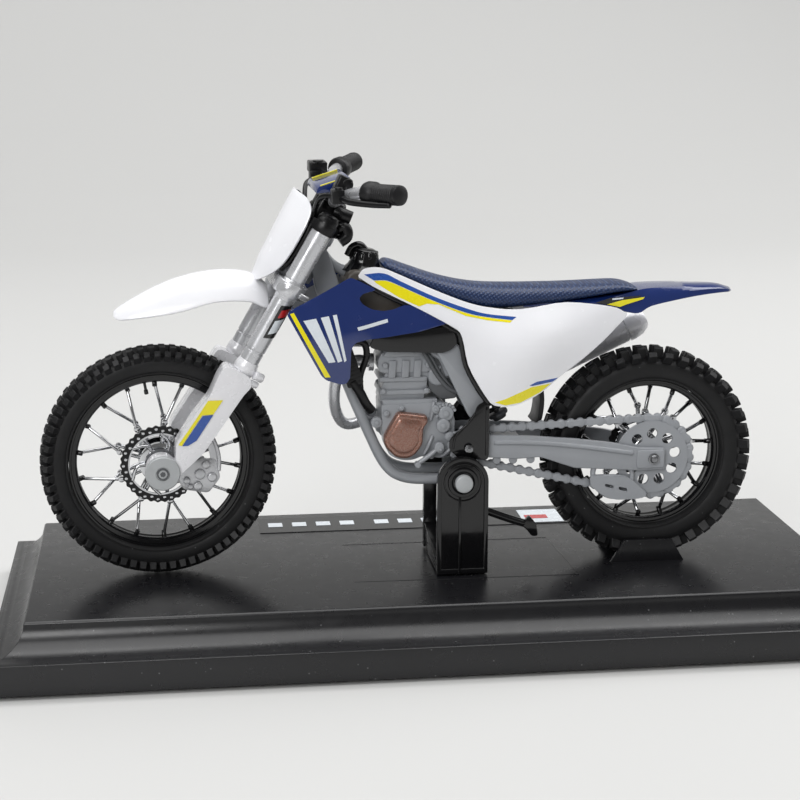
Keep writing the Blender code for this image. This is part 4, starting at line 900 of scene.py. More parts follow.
# %% [markdown]
# ## Exhaust
# The pipe leaves the front of the cylinder, loops down beside the frame and ends in a pale silencer
# under the right-hand panel. The silencer is one turned profile with its bands and its open end.

# %% exhaust
header = [
    (-10.8, 0.3, 45.2), (-14.0, 0.3, 45.4), (-16.7, 0.6, 42.4), (-16.9, 2.2, 37.2), (-14.8, 4.8, 33.6),
    (-10.2, 7.4, 34.0), (-4.0, 7.9, 36.4), (2.6, 7.6, 40.4), (8.2, 6.8, 41.2), (13.3, 6.6, 38.8)]
pipe = Shape()
pipe.tube(header, 0.97, 24, 8)
pipe.turned((-10.6, 0.3, 45.2), (-12.2, 0.3, 45.25), [(0, 1.5), (0.8, 1.5), (0.9, 1.0)])
make("exhaust_pipe", pipe, SILVER, replaces=["exhaust_header"])
can = Shape()
start, end = Vector((14.6, 6.6, 38.9)), Vector((37.6, 7.0, 50.6))
length = (end - start).length
can.turned(start, end, [
    (0, 1.2), (0.2, 1.4), (2.4, 1.75), (2.45, 1.9), (3.0, 1.95), (3.05, 1.85), (length - 4.2, 2.5),
    (length - 4.1, 2.3), (length - 3.9, 2.3), (length - 3.8, 2.62), (length - 3.0, 2.66),
    (length - 1.4, 2.45), (length - 0.4, 1.9), (length, 1.5), (length - 0.1, 1.2), (length - 1.4, 1.15),
    (length - 1.5, 0.2)], 48)
make("silencer_can", can, PEARL, replaces=["silencer"], angle=40)

# %% [markdown]
# ## Airbox, tank and cap
# These fill the middle of the model behind the panels. Little of them shows, but light and shadow
# between the panels depend on them. The cap has a flared neck, grips round its edge and a vent hose.

# %% airbox
air_outline = [
    (-13.4, 49.9), (-12.4, 52.3), (1.4, 53.3), (3.4, 55.6), (10.6, 54.2), (13.2, 54.0), (13.2, 45.6),
    (8.6, 45.2), (3.0, 48.7), (1.6, 49.3), (-9.0, 48.5)]
air = Shape()
air.prism(rounded(air_outline, 0.7), -3.8, 3.8)
cheek = rounded([(-12.0, 48.9), (-11.0, 51.2), (2.4, 52.2), (3.4, 50.8), (2.0, 48.4), (0.4, 47.7),
                 (-9.4, 48.1)], 0.7)
for side in (-1, 1):
    air.prism(cheek, side * 3.7, side * 5.9)
    rim = [(-13.9, 60.2), (-10.4, 58.1), (-4.0, 54.9), (1.4, 51.8), (2.9, 50.7), (3.9, 45.8), (5.9, 41.8),
           (7.7, 39.2)]
    air.tube([(x, side * (6.0 + 0.08 * k), z) for k, (x, z) in enumerate(rim)], 0.42, 10)
make("airbox_shell", air, GLOSS_BLACK, replaces=["airbox"], bevel=0.2)

# %% tank and cap
tank_outline = [(-13.4, 52.7), (-16.0, 58.4), (-15.2, 61.4), (-8.8, 61.2), (-6.8, 59.4), (-4.4, 56.0),
                (-4.4, 52.7)]
# the tank wears a painted shadow colour: brownish shade deep between the panels
make("tank_body", Shape().prism(rounded(tank_outline, 1.2), -4.5, 4.5), SHADE_BROWN, replaces=["fuel_tank"],
     bevel=0.6, steps=4)
tank_top = Shape()
tank_top.turned((-12.3, 0, 60.6), (-11.8, 0, 64.4), [
    (0, 3.8), (0.5, 3.3), (1.1, 2.75), (1.7, 2.45), (2.4, 2.3), (3.0, 2.2), (3.6, 1.9), (3.9, 1.2)], 28)
for k in range(10):
    turn = math.tau * k / 10
    tank_top.rod((-12.2 + 2.1 * math.cos(turn), 2.1 * math.sin(turn), 62.6),
                 (-12.0 + 1.8 * math.cos(turn), 1.8 * math.sin(turn), 64.0), 0.42, 0.25, 10)
tank_top.tube([(-11.8, 0.0, 64.0), (-12.8, 0.2, 65.0), (-14.1, 0.4, 64.6), (-14.9, 0.4, 63.2)], 0.6, 12)
make("filler_cap", tank_top, GLOSS_BLACK, replaces=["tank_cap"], bevel=0.1)

# %% [markdown]
# ## Body panels
# The shrouds and side panels are thin glossy shells. Each is drawn as its outline seen from the side,
# cut into small cells and raised to a smooth height through a few knots, so that its edge is exact and
# its face stays fair. Printed stripes are thin skins a few hundredths of a millimetre above the same
# height, which keeps their edges crisp at any distance.

# %% heights of the panels
shroud_height = thin_plate([
    (-25.5, 55.4, 9.1), (-20.0, 58.0, 8.7), (-14.9, 60.5, 7.7), (-9.8, 55.4, 7.5), (-4.4, 54.6, 6.9),
    (1.0, 53.0, 6.5), (-19.0, 44.2, 9.6), (-15.9, 44.0, 9.4), (-15.2, 50.0, 9.5), (-11.7, 51.0, 8.8),
    (-6.0, 51.9, 7.6), (-19.5, 51.5, 9.9), (-13.0, 53.5, 8.9)])
panel_knots = [
    (-13.6, 61.0, 5.9), (-6.5, 60.4, 5.6), (-10.0, 58.8, 6.3), (-3.5, 55.6, 6.7), (4.0, 56.0, 5.6),
    (1.6, 52.4, 7.0), (8.0, 55.0, 5.6), (20.0, 55.6, 5.5), (31.0, 53.6, 5.4), (4.4, 46.0, 7.5),
    (8.0, 39.6, 7.7), (13.0, 39.4, 7.4), (19.6, 43.4, 6.6), (25.4, 47.6, 6.0), (12.0, 47.0, 8.3),
    (18.0, 50.8, 7.9), (26.0, 53.6, 6.4)]
left_panel_height = thin_plate(panel_knots)
right_panel_height = thin_plate([
    (x, z, y + 2.2 * min(1.0, max(0.0, (x - 4.0) / 9.0)) * min(1.0, max(0.0, (56.5 - z) / 6.0)))
    for x, z, y in panel_knots])

print("the shroud stands out", round(shroud_height(-19.0, 50.0), 1), "mm, the side panel",
      round(left_panel_height(12.0, 47.0), 1))

# %% outlines of the panels
SHROUD = [
    (-25.6, 55.2), (-25.0, 55.9), (-20.0, 58.4), (-15.3, 60.8), (-14.4, 60.5), (-11.3, 58.9),
    (-11.1, 58.6), (-13.3, 58.1), (-13.9, 57.4), (-13.3, 56.5), (-11.8, 55.6), (-9.8, 55.2),
    (-8.0, 55.4), (-6.4, 56.0), (-5.2, 55.9), (-2.0, 54.4),
    (1.4, 52.9), (-4.0, 51.6), (-9.5, 51.0), (-12.8, 50.8), (-14.6, 50.4), (-15.3, 49.4), (-15.5, 44.6),
    (-16.1, 43.7), (-17.0, 43.6), (-19.4, 44.4), (-20.2, 45.2)]
PANEL_TOP = [(-13.7, 60.9), (-12.7, 61.9), (-10.0, 62.0), (-6.5, 60.6), (-1.4, 58.3), (4.0, 56.1),
             (8.0, 55.1), (13.0, 54.8), (21.0, 55.7), (28.4, 54.9), (31.3, 53.6)]
PANEL_REAR = [(31.0, 52.9), (25.5, 47.6), (19.8, 43.3), (16.6, 40.8), (13.0, 39.1), (10.5, 38.7),
              (8.6, 39.0)]
PANEL_FRONT = [(7.9, 39.5), (6.3, 41.9), (4.2, 45.9), (3.2, 50.6), (1.7, 52.2), (-3.9, 55.3),
               (-10.3, 58.5), (-13.6, 60.2)]
PANEL = smooth_route(PANEL_TOP, 4) + smooth_route(PANEL_REAR, 4) + smooth_route(PANEL_FRONT, 3)


print("panel outline:", len(PANEL), "points")


# %% printed patches
def decal(name, outline, height, side, ink, on):
    """A printed patch just above a panel."""
    skin = Shape().panel(outline, height, side, 0.8, 0.035)
    return make(name, skin, ink, on=on, wall=-0.03, even=False)


# %% shrouds
for side, word in SIDES:
    host = "shroud_" + word
    shell = Shape().panel(rounded(SHROUD, 0.35, 2), shroud_height, side, 0.9)
    make("shroud_shell_" + word, shell, BLUE, replaces=[host], wall=-0.4, bevel=0.1, even=False)
    inner = Shape().panel([
        (-24.2, 55.0), (-19.6, 57.2), (-15.6, 59.1), (-15.0, 57.0), (-12.6, 54.8), (-6.0, 54.6),
        (-2.0, 53.6), (-4.0, 52.4), (-12.4, 51.7), (-15.6, 51.0), (-16.3, 49.4), (-16.4, 44.6),
        (-19.0, 45.2)], shroud_height, side, 1.2, -0.5)
    make("shroud_liner_" + word, inner, LINER, on=host, wall=-0.15, even=False)
    decal("shroud_stripe_" + word, [(-25.1, 55.3), (-24.5, 55.5), (-18.7, 44.9), (-19.6, 44.9)],
          shroud_height, side, YELLOW_INK, host)
    for k, (start, end) in enumerate(((0.0, 0.38), (0.52, 0.76), (0.88, 1.0))):
        bar = [(-19.0 + 2.9 * start, 47.3), (-19.0 + 2.9 * end, 47.3 + 0.3 * end),
               (-23.0 + 5.4 * end, 54.2 + 0.9 * end), (-23.0 + 5.4 * start, 54.2 + 0.9 * start)]
        decal(f"shroud_bar_{k}_{word}", bar, shroud_height, side, WHITE_INK, host)
    decal("shroud_dash_" + word, [(-14.3, 52.9), (-9.2, 53.95), (-9.1, 53.4), (-14.1, 52.35)],
          shroud_height, side, WHITE_INK, host)

# %% [markdown]
# ## Side panels
# The white panels run from the tank to under the tail. Each wears two stripes along its top edge and
# two at its lower corner. A stripe shares the panel's height function, so it bends exactly with it.
# The right panel bulges further, to make room for the silencer.

# %% side panels
BLUE_TOP = [(-12.8, 61.0), (-9.6, 61.1), (-6.7, 59.7), (-1.4, 57.2), (4.0, 55.1), (7.5, 54.1), (12.3, 53.6)]
BLUE_LOW = [(-11.2, 60.0), (-9.0, 59.9), (-5.8, 58.5), (-1.4, 56.5), (4.0, 54.4), (7.5, 53.6), (11.6, 53.1)]
YELLOW_LOW = [(-10.9, 59.6), (-7.3, 57.3), (-3.9, 55.7), (-2.6, 56.1), (-0.6, 55.9), (3.9, 53.9), (7.5, 53.1),
              (11.2, 52.7)]
LOW_YELLOW = [(8.7, 39.5), (10.4, 40.0), (14.9, 41.9), (18.3, 42.3), (16.4, 40.9), (13.0, 39.3), (10.5, 38.95)]
LOW_BLUE = [(14.5, 42.2), (15.8, 42.8), (19.5, 43.2), (18.6, 42.6), (15.0, 42.1)]
for side, word, height in ((-1, "left", left_panel_height), (1, "right", right_panel_height)):
    host = "side_panel_" + word
    make("side_shell_" + word, Shape().panel(PANEL, height, side, 1.0), WHITE, replaces=[host], wall=-0.45,
         bevel=0.12, even=False)
    upper, lower = smooth_route(BLUE_TOP, 4), smooth_route(BLUE_LOW, 4)
    decal("top_stripe_blue_" + word, upper + lower[::-1], height, side, BLUE_INK, host)
    decal("top_stripe_yellow_" + word, [(x, z - 0.06) for x, z in lower] + YELLOW_LOW[::-1], height, side,
          YELLOW_INK, host)
    decal("low_stripe_yellow_" + word, LOW_YELLOW, height, side, YELLOW_INK, host)
    decal("low_stripe_blue_" + word, LOW_BLUE, height, side, BLUE_INK, host)

# %% [markdown]
# ## Seat
# The seat is a firm moulding with a ribbed cover: a crowned top and sides that tuck in under the top
# edge. Each row below gives a place along the seat, its top, its lower edge and its half width.

# %% seat
SEAT = [(-9.5, 62.2, 61.7, 2.6), (-8.4, 62.7, 61.0, 3.6), (-5.0, 61.5, 59.2, 4.2), (0.0, 59.8, 56.9, 4.3),
        (5.0, 58.7, 55.0, 4.4), (10.0, 58.3, 54.3, 4.5), (18.0, 58.2, 54.9, 4.5), (25.0, 58.3, 55.9, 4.4),
        (30.5, 58.4, 56.8, 4.2), (33.0, 57.8, 57.0, 3.7), (33.6, 57.5, 57.1, 3.0)]
seat_shape = Shape()
seat_rings = []
for x, high, low, half in smooth_route(SEAT, 4):
    rise = high - low
    section = [(-half * 0.86, low), (-half * 1.04, low + rise * 0.28), (-half, low + rise * 0.62),
               (-half * 0.84, high - rise * 0.14), (-half * 0.5, high - 0.04), (0.0, high)]
    section = section + [(-y, z) for y, z in section[:-1][::-1]]
    seat_rings.append([(x, y, z) for y, z in section])
seat_shape.loft(seat_rings)
make("seat_cushion", seat_shape, NAVY, replaces=["seat"], levels=1, angle=60)

# %% [markdown]
# ## Rear fender and mud flap
# The fender is a glossy tray that ends in a thin tail. Its printed patches need a height to lie on, so
# a thin plate is fitted to the tray's own sides. The flap is a bent strip lofted from flat rings.

# %% rear fender
TAIL = [(14.0, 4.0, 55.9, 54.8), (24.0, 4.3, 56.0, 54.5), (30.0, 4.5, 56.6, 53.9), (33.4, 4.5, 57.4, 53.4),
        (35.6, 4.3, 57.7, 54.5), (40.0, 3.9, 57.8, 55.4), (44.0, 3.4, 57.7, 56.0), (47.6, 2.7, 57.6, 56.3),
        (49.6, 1.9, 57.1, 56.3), (50.4, 1.0, 56.8, 56.3)]
tail_height = thin_plate([(x, z, half + 0.04) for x, half, high, low in TAIL for z in (high - 0.6, low)])
tail = Shape()
tail_rings = []
for x, half, high, low in smooth_route(TAIL, 4):
    section = [(-half, low), (-half * 0.98, low + (high - low) * 0.55), (-half * 0.8, high - 0.25), (0.0, high)]
    section += [(half * 0.8, high - 0.25), (half * 0.98, low + (high - low) * 0.55), (half, low)]
    section += [(half * 0.85, low), (0.0, high - 0.6), (-half * 0.85, low)]
    tail_rings.append([(x, y, z) for y, z in section])
tail.loft(tail_rings)
make("tail_tray", tail, BLUE, replaces=["rear_fender"], angle=40)


def second_film(x, z):
    """Just above the black print, for the two prints that lie on it."""
    return tail_height(x, z) + 0.04


for side, word in SIDES:
    for name, ink, height, outline in (
            ("black_", BLACK_INK, tail_height,
             [(26.0, 55.3), (28.6, 56.1), (33.6, 56.4), (33.9, 55.9), (29.8, 54.6)]),
            ("yellow_", YELLOW_INK, second_film,
             [(28.0, 55.0), (30.6, 55.7), (34.4, 56.15), (34.2, 55.8), (31.4, 55.0), (30.2, 54.55)]),
            ("white_", WHITE_INK, second_film, [(28.9, 56.0), (30.8, 56.15), (30.7, 55.9), (28.9, 55.75)])):
        decal("tail_print_" + name + word, outline, height, side, ink, "rear_fender")

# %% mud flap
flap = Shape().loft([[(x - 0.4, -3.0, z), (x + 0.4, -3.0, z), (x + 0.4, 3.0, z), (x - 0.4, 3.0, z)]
           for x, z in smooth_route([(16.6, 43.6), (17.3, 41.6), (17.7, 38.6), (17.4, 35.6), (16.8, 34.4)], 4)])
make("mud_guard_flap", flap, GRIP, replaces=["mud_flap"], bevel=0.15)

# %% [markdown]
# ## Clamps and fork tubes
# A bright lower clamp and a black upper one hold the fork tubes. These pieces are drawn straight ahead
# and turned to their resting angle with the steering body. Each clamp is a plate squared to the fork,
# with turned collars where the tubes pass through.

# %% clamps and tubes
clamp_half = [(3.4, 3.6), (1.4, 7.8), (-0.2, 8.05), (-1.5, 7.4), (-2.3, 6.2)]
clamp_outline = [(u, -y) for u, y in reversed(clamp_half)] + clamp_half
lower = Shape()
lower.slab(-0.5, 1.8, rounded(clamp_outline, 0.8))
for side in (-1, 1):
    lower.turned(fork_point(-1.4, 0, side * LEG_Y), fork_point(2.4, 0, side * LEG_Y), [
        (0, 1.4), (0.15, 1.75), (1.0, 1.85), (1.1, 1.95), (2.8, 1.95), (2.9, 1.8), (3.6, 1.7), (3.8, 1.4)])
    lower.rod(fork_point(0.6, 1.6, side * 7.0), fork_point(0.6, 3.4, side * 6.4), 0.5)
lower.rod(fork_point(1.0, STEM_OFFSET, 0), fork_point(11.6, STEM_OFFSET, 0), 0.85)
make("lower_yoke", lower, SILVER, replaces=["lower_clamp"], bevel=0.25, angle=50)
upper = Shape()
upper.slab(11.3, 12.8, rounded(clamp_outline, 0.8))
for side in (-1, 1):
    upper.turned(fork_point(11.0, 0, side * LEG_Y), fork_point(14.4, 0, side * LEG_Y), [
        (0, 1.6), (0.2, 1.8), (2.6, 1.8), (2.8, 1.6), (3.2, 1.5), (3.4, 1.1)])
    mount = [(-2.0, side * 1.2), (1.9, side * 1.2), (1.9, side * 3.5), (-2.0, side * 3.5)]
    upper.slab(12.6, 15.9, rounded(mount, 0.4))
upper.slab(14.6, 16.5, rounded([(-1.9, -3.5), (1.8, -3.5), (1.8, 3.5), (-1.9, 3.5)], 0.4))
for side in (-1, 1):
    upper.tube([fork_point(12.4, 2.0, side * 4.0), fork_point(13.6, 3.2, side * 4.6),
                fork_point(12.6, 4.2, side * 4.8), fork_point(11.2, 3.6, side * 4.9)], 1.0, 14)
    upper.rod(fork_point(15.0, 0.6, side * 3.4), fork_point(15.4, 3.6, side * 4.0), 1.1)
make("upper_yoke", upper, BLACK, replaces=["upper_clamp"], bevel=0.2, angle=45)

# %% fork tubes
for side, word in SIDES:
    stanchion = Shape()
    stanchion.turned(fork_point(-16.8, 0, side * LEG_Y), fork_point(13.6, 0, side * LEG_Y), [
        (0, 1.4), (0.2, 1.6), (5.9, 1.62), (6.0, 1.52), (6.2, 1.52), (6.3, 1.66), (15.2, 1.7), (18.8, 1.7),
        (18.9, 1.6), (19.2, 1.6), (19.3, 1.72), (28.4, 1.72), (30.2, 1.7), (30.4, 1.4)], 32)
    make("fork_stanchion_" + word, stanchion, SILVER, replaces=["fork_tube_" + word])

# %% [markdown]
# ## A sticker on the fork
# A black patch with a red and a pale block is wrapped round the left tube. A flat print would leave the
# tube, so the patch is a small grid bent to the tube's radius, with its ends cut on a slant.


# %% prints on the fork tube
def tube_print(name, t0, t1, from_deg, to_deg, ink, lift=0.0):
    """A sticker wrapped round the left fork tube between two heights and two angles."""
    radius = 1.73 + lift
    rows = []
    for k in range(9):
        turn = math.radians(from_deg + (to_deg - from_deg) * k / 8)
        slant = 0.9 * (k / 8 - 0.5)
        rows.append([fork_point(t + slant, radius * math.sin(turn), -LEG_Y - radius * math.cos(turn))
                     for t in np.linspace(t0, t1, 7)])
    make(name, Shape().sheet(rows), ink, on="fork_tube_left", wall=0.02)


tube_print("fork_sticker_black", -7.6, -1.6, -8, 84, BLACK_INK)
tube_print("fork_sticker_red", -3.7, -2.3, 8, 66, RED_INK, 0.03)
tube_print("fork_sticker_grey", -6.8, -4.3, 4, 50, WHITE_INK, 0.03)

# %% [markdown]
# ## Handlebar, grips and levers
# The bar is one bent tube, mirrored about the middle. The grips are turned from one profile, whose
# repeated steps are the rubber's ridges. Levers, perches and cables are moulded together in black.

# %% handlebar
BARS = [Vector(point) for point in (
    (-17.7, 0.0, 72.8), (-17.6, -3.4, 72.8), (-16.6, -7.6, 74.1), (-14.6, -13.4, 75.5), (-9.7, -21.0, 76.1))]
bar_end = BARS[4] - (BARS[4] - BARS[3]).normalized() * 1.2
bar_route = [tuple(p) for p in [bar_end] + BARS[3::-1]] + [(p.x, -p.y, p.z) for p in BARS[1:4] + [bar_end]]
bars = Shape()
bars.tube(bar_route, 1.05, 20, 8)
make("handle_tube", bars, SILVER, replaces=["handlebar"])

# %% grips
inner_end = BARS[3].lerp(BARS[4], 0.08)
outer_end = BARS[4] - (BARS[4] - BARS[3]).normalized() * 0.5
for side, word in ((1, "left"), (-1, "right")):
    a, b = (Vector((p.x, side * p.y, p.z)) for p in (inner_end, outer_end))
    grip = Shape()
    span = (b - a).length
    profile = [(0, 1.4), (0.15, 1.8), (0.6, 1.95), (1.9, 1.9), (2.2, 1.6)]
    for k in range(9):
        base = 2.4 + (span - 3.5) * k / 9
        profile += [(base, 1.46), (base + 0.12, 1.6), (base + 0.34, 1.6), (base + 0.46, 1.46)]
    profile += [(span - 1.0, 1.5), (span - 0.8, 1.62), (span - 0.25, 1.55), (span, 1.1)]
    grip.turned(a, b, profile, 28)
    make("rubber_grip_" + word, grip, GRIP, replaces=["grip_" + word], angle=50)

# %% levers and perches
lever = [(-17.9, -12.2, 74.6), (-16.8, -14.4, 74.3), (-14.0, -17.6, 74.3), (-11.6, -20.2, 74.5)]
for side, word in ((1, "clutch"), (-1, "brake")):
    reach = Shape()
    reach.tube([(x, side * y, z) for x, y, z in lever], lambda t: 0.62 - 0.2 * t, 14)
    reach.block((-18.4, -side * 11.4, 74.8), (2.0, 2.6, 2.2))
    reach.rod((-18.3, -side * 12.0, 75.6), (-18.3, -side * 12.0, 76.3), 0.6)
    if side > 0:
        reach.block((-17.2, -7.6, 75.6), (2.3, 2.4, 3.8), Matrix.Rotation(math.radians(26), 3, "Y"))
        reach.rod((-16.3, -8.9, 76.2), (-16.3, -6.3, 76.2), 0.9)
    cable_start = (-18.6, -side * 10.2, 74.7)
    reach.tube([cable_start, (-20.6, -side * 7.6, 74.0), (-21.2, -side * 4.6, 70.6),
                (-21.3, -side * 4.0, 66.5)], 0.42, 10)
    if side < 0:
        reach.block((-17.9, 12.6, 76.3), (3.0, 3.6, 1.9))
        reach.rod((-17.9, 11.6, 77.0), (-17.9, 11.6, 77.5), 0.9)
    make(word + "_lever_set", reach, BLACK, replaces=[word + "_lever"], bevel=0.25, angle=45)

# %% [markdown]
# ## Bar pad
# A wedge-shaped blue pad sits on the crossbar, with a yellow line along each end. The lines are thin
# bars turned to the slope of the pad's top.

# %% bar pad
pad_outline = [(-20.8, 74.3), (-20.5, 75.3), (-15.3, 76.9), (-15.1, 75.7), (-17.6, 74.6)]
make("bar_pad_cover", Shape().prism(rounded(pad_outline, 0.25), -5.0, 5.0), BLUE, replaces=["bar_pad"],
     bevel=0.15)
lines = Shape()
for side in (-1, 1):
    ridge = [Vector((-20.4, side * 4.5, 75.37)), Vector((-15.5, side * 4.5, 76.9))]
    along = (ridge[1] - ridge[0]).normalized()
    up = along.cross(Vector((0, -1, 0)))
    turn = Matrix((along, Vector((0, 1, 0)), up)).transposed()
    lines.block(ridge[0].lerp(ridge[1], 0.5), (4.4, 0.45, 0.14), turn)
make("bar_pad_lines", lines, YELLOW_INK, on="bar_pad")

# %% [markdown]
# ## Number board and front mudguard
# Both are thin white mouldings that curve in two directions. Each row below is a cross-section: where
# it stands, how wide it is and how far its edge falls back. The sheet is thickened afterwards. The
# board has no number; a black bracket carries it.

# %% number board
plate_rows = []
for t, front, half, edge in smooth_route([
        (-1.0, -5.0, 1.6, -4.4), (0.6, -5.2, 3.2, -3.6), (2.6, -5.5, 4.5, -2.8), (5.2, -5.6, 5.2, -2.4),
        (9.5, -5.8, 5.6, -2.4), (13.0, -5.9, 5.0, -2.6), (14.4, -5.9, 4.0, -3.6), (14.9, -5.8, 3.0, -4.6)], 3):
    plate_rows.append([
        fork_point(t, front + (edge - front) * abs(k / 6) ** 2.2, half * k / 6) for k in range(-6, 7)])
make("number_board", Shape().sheet(plate_rows), WHITE, replaces=["number_plate"], wall=0.5, bevel=0.15,
     levels=1, angle=50)
backing = Shape()
backing.loft([[fork_point(t, u, y) for u, y in ((-3.6, -3.6), (-1.9, -4.4), (-1.9, 4.4), (-3.6, 3.6))]
              for t in (3.4, 5.0, 9.0, 12.8)])
for side in (-1, 1):
    backing.tube([fork_point(13.0, -1.9, side * 4.2), fork_point(9.0, -1.7, side * 4.7),
                  fork_point(4.6, -1.8, side * 4.2), fork_point(2.6, -2.2, side * 2.8)], 0.5, 10)
make("number_board_bracket", backing, BLACK, on="number_plate", bevel=0.3)

# %% front mudguard
FENDER = [(-53.4, 55.0, 1.3, 54.4), (-52.6, 55.7, 2.2, 54.1), (-50.5, 57.0, 3.2, 54.4),
          (-46.6, 59.0, 4.3, 55.0), (-42.6, 60.5, 4.8, 55.7), (-38.0, 61.4, 5.0, 57.0),
          (-34.4, 61.5, 4.8, 57.2), (-31.2, 61.0, 4.2, 56.8),
          (-29.4, 60.0, 3.8, 55.9), (-28.3, 58.9, 3.4, 55.6)]
fender_rows = []
for x, top, half, edge in smooth_route(FENDER, 4):
    fender_rows.append([
        (x, half * k / 6, top - (top - edge) * abs(k / 6) ** 2.4) for k in range(-6, 7)])
make("front_mudguard", Shape().sheet(fender_rows), WHITE, replaces=["front_fender"], wall=-0.5, bevel=0.15,
     levels=1, angle=50)

# %% [markdown]
# ## Fork legs
# Each lower leg is a broad boot-shaped guard around the tube that ends in a round axle lug. It is a
# rounded plate with a heavy edge, because the real casting has no sharp corners.

# %% fork legs
hub_front = seen(FRONT_AXLE)
leg_outline = [(-36.0, 47.3), (-33.6, 46.2), (-31.9, 44.9), (-31.9, 43.5), (-33.2, 42.2), (-36.9, 36.9),
               (-40.0, 32.6)]
leg_outline += arc(hub_front, 2.5, -10, -330, 24)[1:]
leg_outline += [(-44.3, 34.4), (-41.3, 39.0), (-38.6, 42.4), (-37.2, 45.6)]


yellow = [(-39.0, 41.6), (-36.6, 41.6), (-38.2, 39.3), (-40.0, 39.2), (-43.4, 34.2), (-43.95, 34.4),
          (-41.0, 38.6)]
blue = [(-39.9, 39.1), (-38.2, 39.2), (-41.0, 35.0), (-42.4, 34.2), (-43.3, 34.2)]


def leg_height(x, z):
    """The flat outer face of a leg, a little proud so that the prints don't sink in."""
    return 8.1


for side, word in SIDES:
    leg = Shape()
    leg.prism(rounded(leg_outline, 0.8), side * 4.2, side * 8.0)
    leg.turned(fork_point(-14.6, 0, side * LEG_Y), fork_point(-12.6, 0, side * LEG_Y), [
        (0, 1.7), (0.3, 1.9), (1.3, 1.9), (1.5, 1.8), (1.9, 1.75), (2.0, 1.5)])
    leg.rod(fork_point(-14.2, 1.6, side * 7.4), fork_point(-14.2, 3.2, side * 7.0), 0.75)
    leg.rod(fork_point(-15.6, 1.7, side * 7.3), fork_point(-15.6, 3.0, side * 7.0), 0.55)
    make("fork_guard_" + word, leg, PEARL, replaces=["fork_leg_" + word], bevel=0.7, steps=4, angle=50)
    decal("fork_print_yellow_" + word, yellow, leg_height, side, YELLOW_INK, "fork_leg_" + word)
    decal("fork_print_blue_" + word, blue, leg_height, side, BLUE_INK, "fork_leg_" + word)

# %% [markdown]
# ## Front axle and caliper
# A large pale cap with a sunken screw closes each end of the axle. The caliper is a lumpy casting on
# the disc's rear edge: a plate, a curved guard and a handful of bosses at the real one's bolts.

# %% front axle
axle = Shape()
axle.cross_rod(hub_front, 0.75, -8.2, 8.2)
for side in (-1, 1):
    axle.turned((hub_front[0], side * 7.9, hub_front[1]), (hub_front[0], side * 8.75, hub_front[1]), [
        (0, 2.85), (0.5, 2.85), (0.65, 2.7), (0.66, 1.15), (0.5, 1.1), (0.5, 0.8), (0.8, 0.75),
        (0.85, 0.6)], 40)
make("front_spindle", axle, PIN, replaces=["front_axle"], angle=30)
screws = Shape()
for side in (-1, 1):
    face = Vector((hub_front[0], side * 8.4, hub_front[1]))
    screws.turned(face, face + Vector((0, side * 0.45, 0)), [
        (0, 0.95), (0.42, 0.95), (0.44, 0.8), (0.3, 0.7)], 28)
    screws.turned(face, face + Vector((0, side * 0.4, 0)), [(0, 0.55), (0.3, 0.55), (0.4, 0.4)], 6)
make("front_spindle_screws", screws, GREY_DARK, on="front_axle", angle=30)

# %% caliper
caliper = Shape()
caliper_plate = [(-43.4, 30.2), (-37.6, 30.6), (-36.8, 27.2), (-38.8, 24.6), (-43.0, 25.4), (-44.0, 27.6)]
caliper.prism(rounded(caliper_plate, 0.6), -3.8, -3.25)
for x, z, radius in ((-39.2, 29.6, 0.7), (-38.2, 27.4, 0.8), (-40.6, 26.0, 0.75), (-42.4, 27.0, 0.6),
                     (-40.2, 28.0, 0.9), (-41.8, 25.9, 0.45)):
    caliper.cross_rod((x, z), radius, -4.3, -3.3, 0.2)
guard = [(hub_front[0] + r * math.cos(a), hub_front[1] + r * math.sin(a))
         for r, turns in ((9.6, np.linspace(-0.15, 0.72, 14)), (8.2, np.linspace(0.72, -0.15, 14)))
         for a in turns]
caliper.prism(guard, -3.7, -3.3)
ridge = [(hub_front[0] + 9.6 * math.cos(a), -3.7, hub_front[1] + 9.6 * math.sin(a))
         for a in np.linspace(-0.15, 0.72, 10)]
caliper.tube(ridge, 0.35, 10, 2)
make("front_brake_caliper", caliper, SILVER, replaces=["front_caliper"], bevel=0.15, angle=45)

# %% [markdown]
# ## Tyres
# A wheel is four pieces: a knobbly tyre, a gloss black rim, a chromed hub with its spokes and a drilled
# disc. The knobs are the part a plain ring can't suggest, so each one is a small tapered block with
# its own place around the tyre, in rows across the tread.


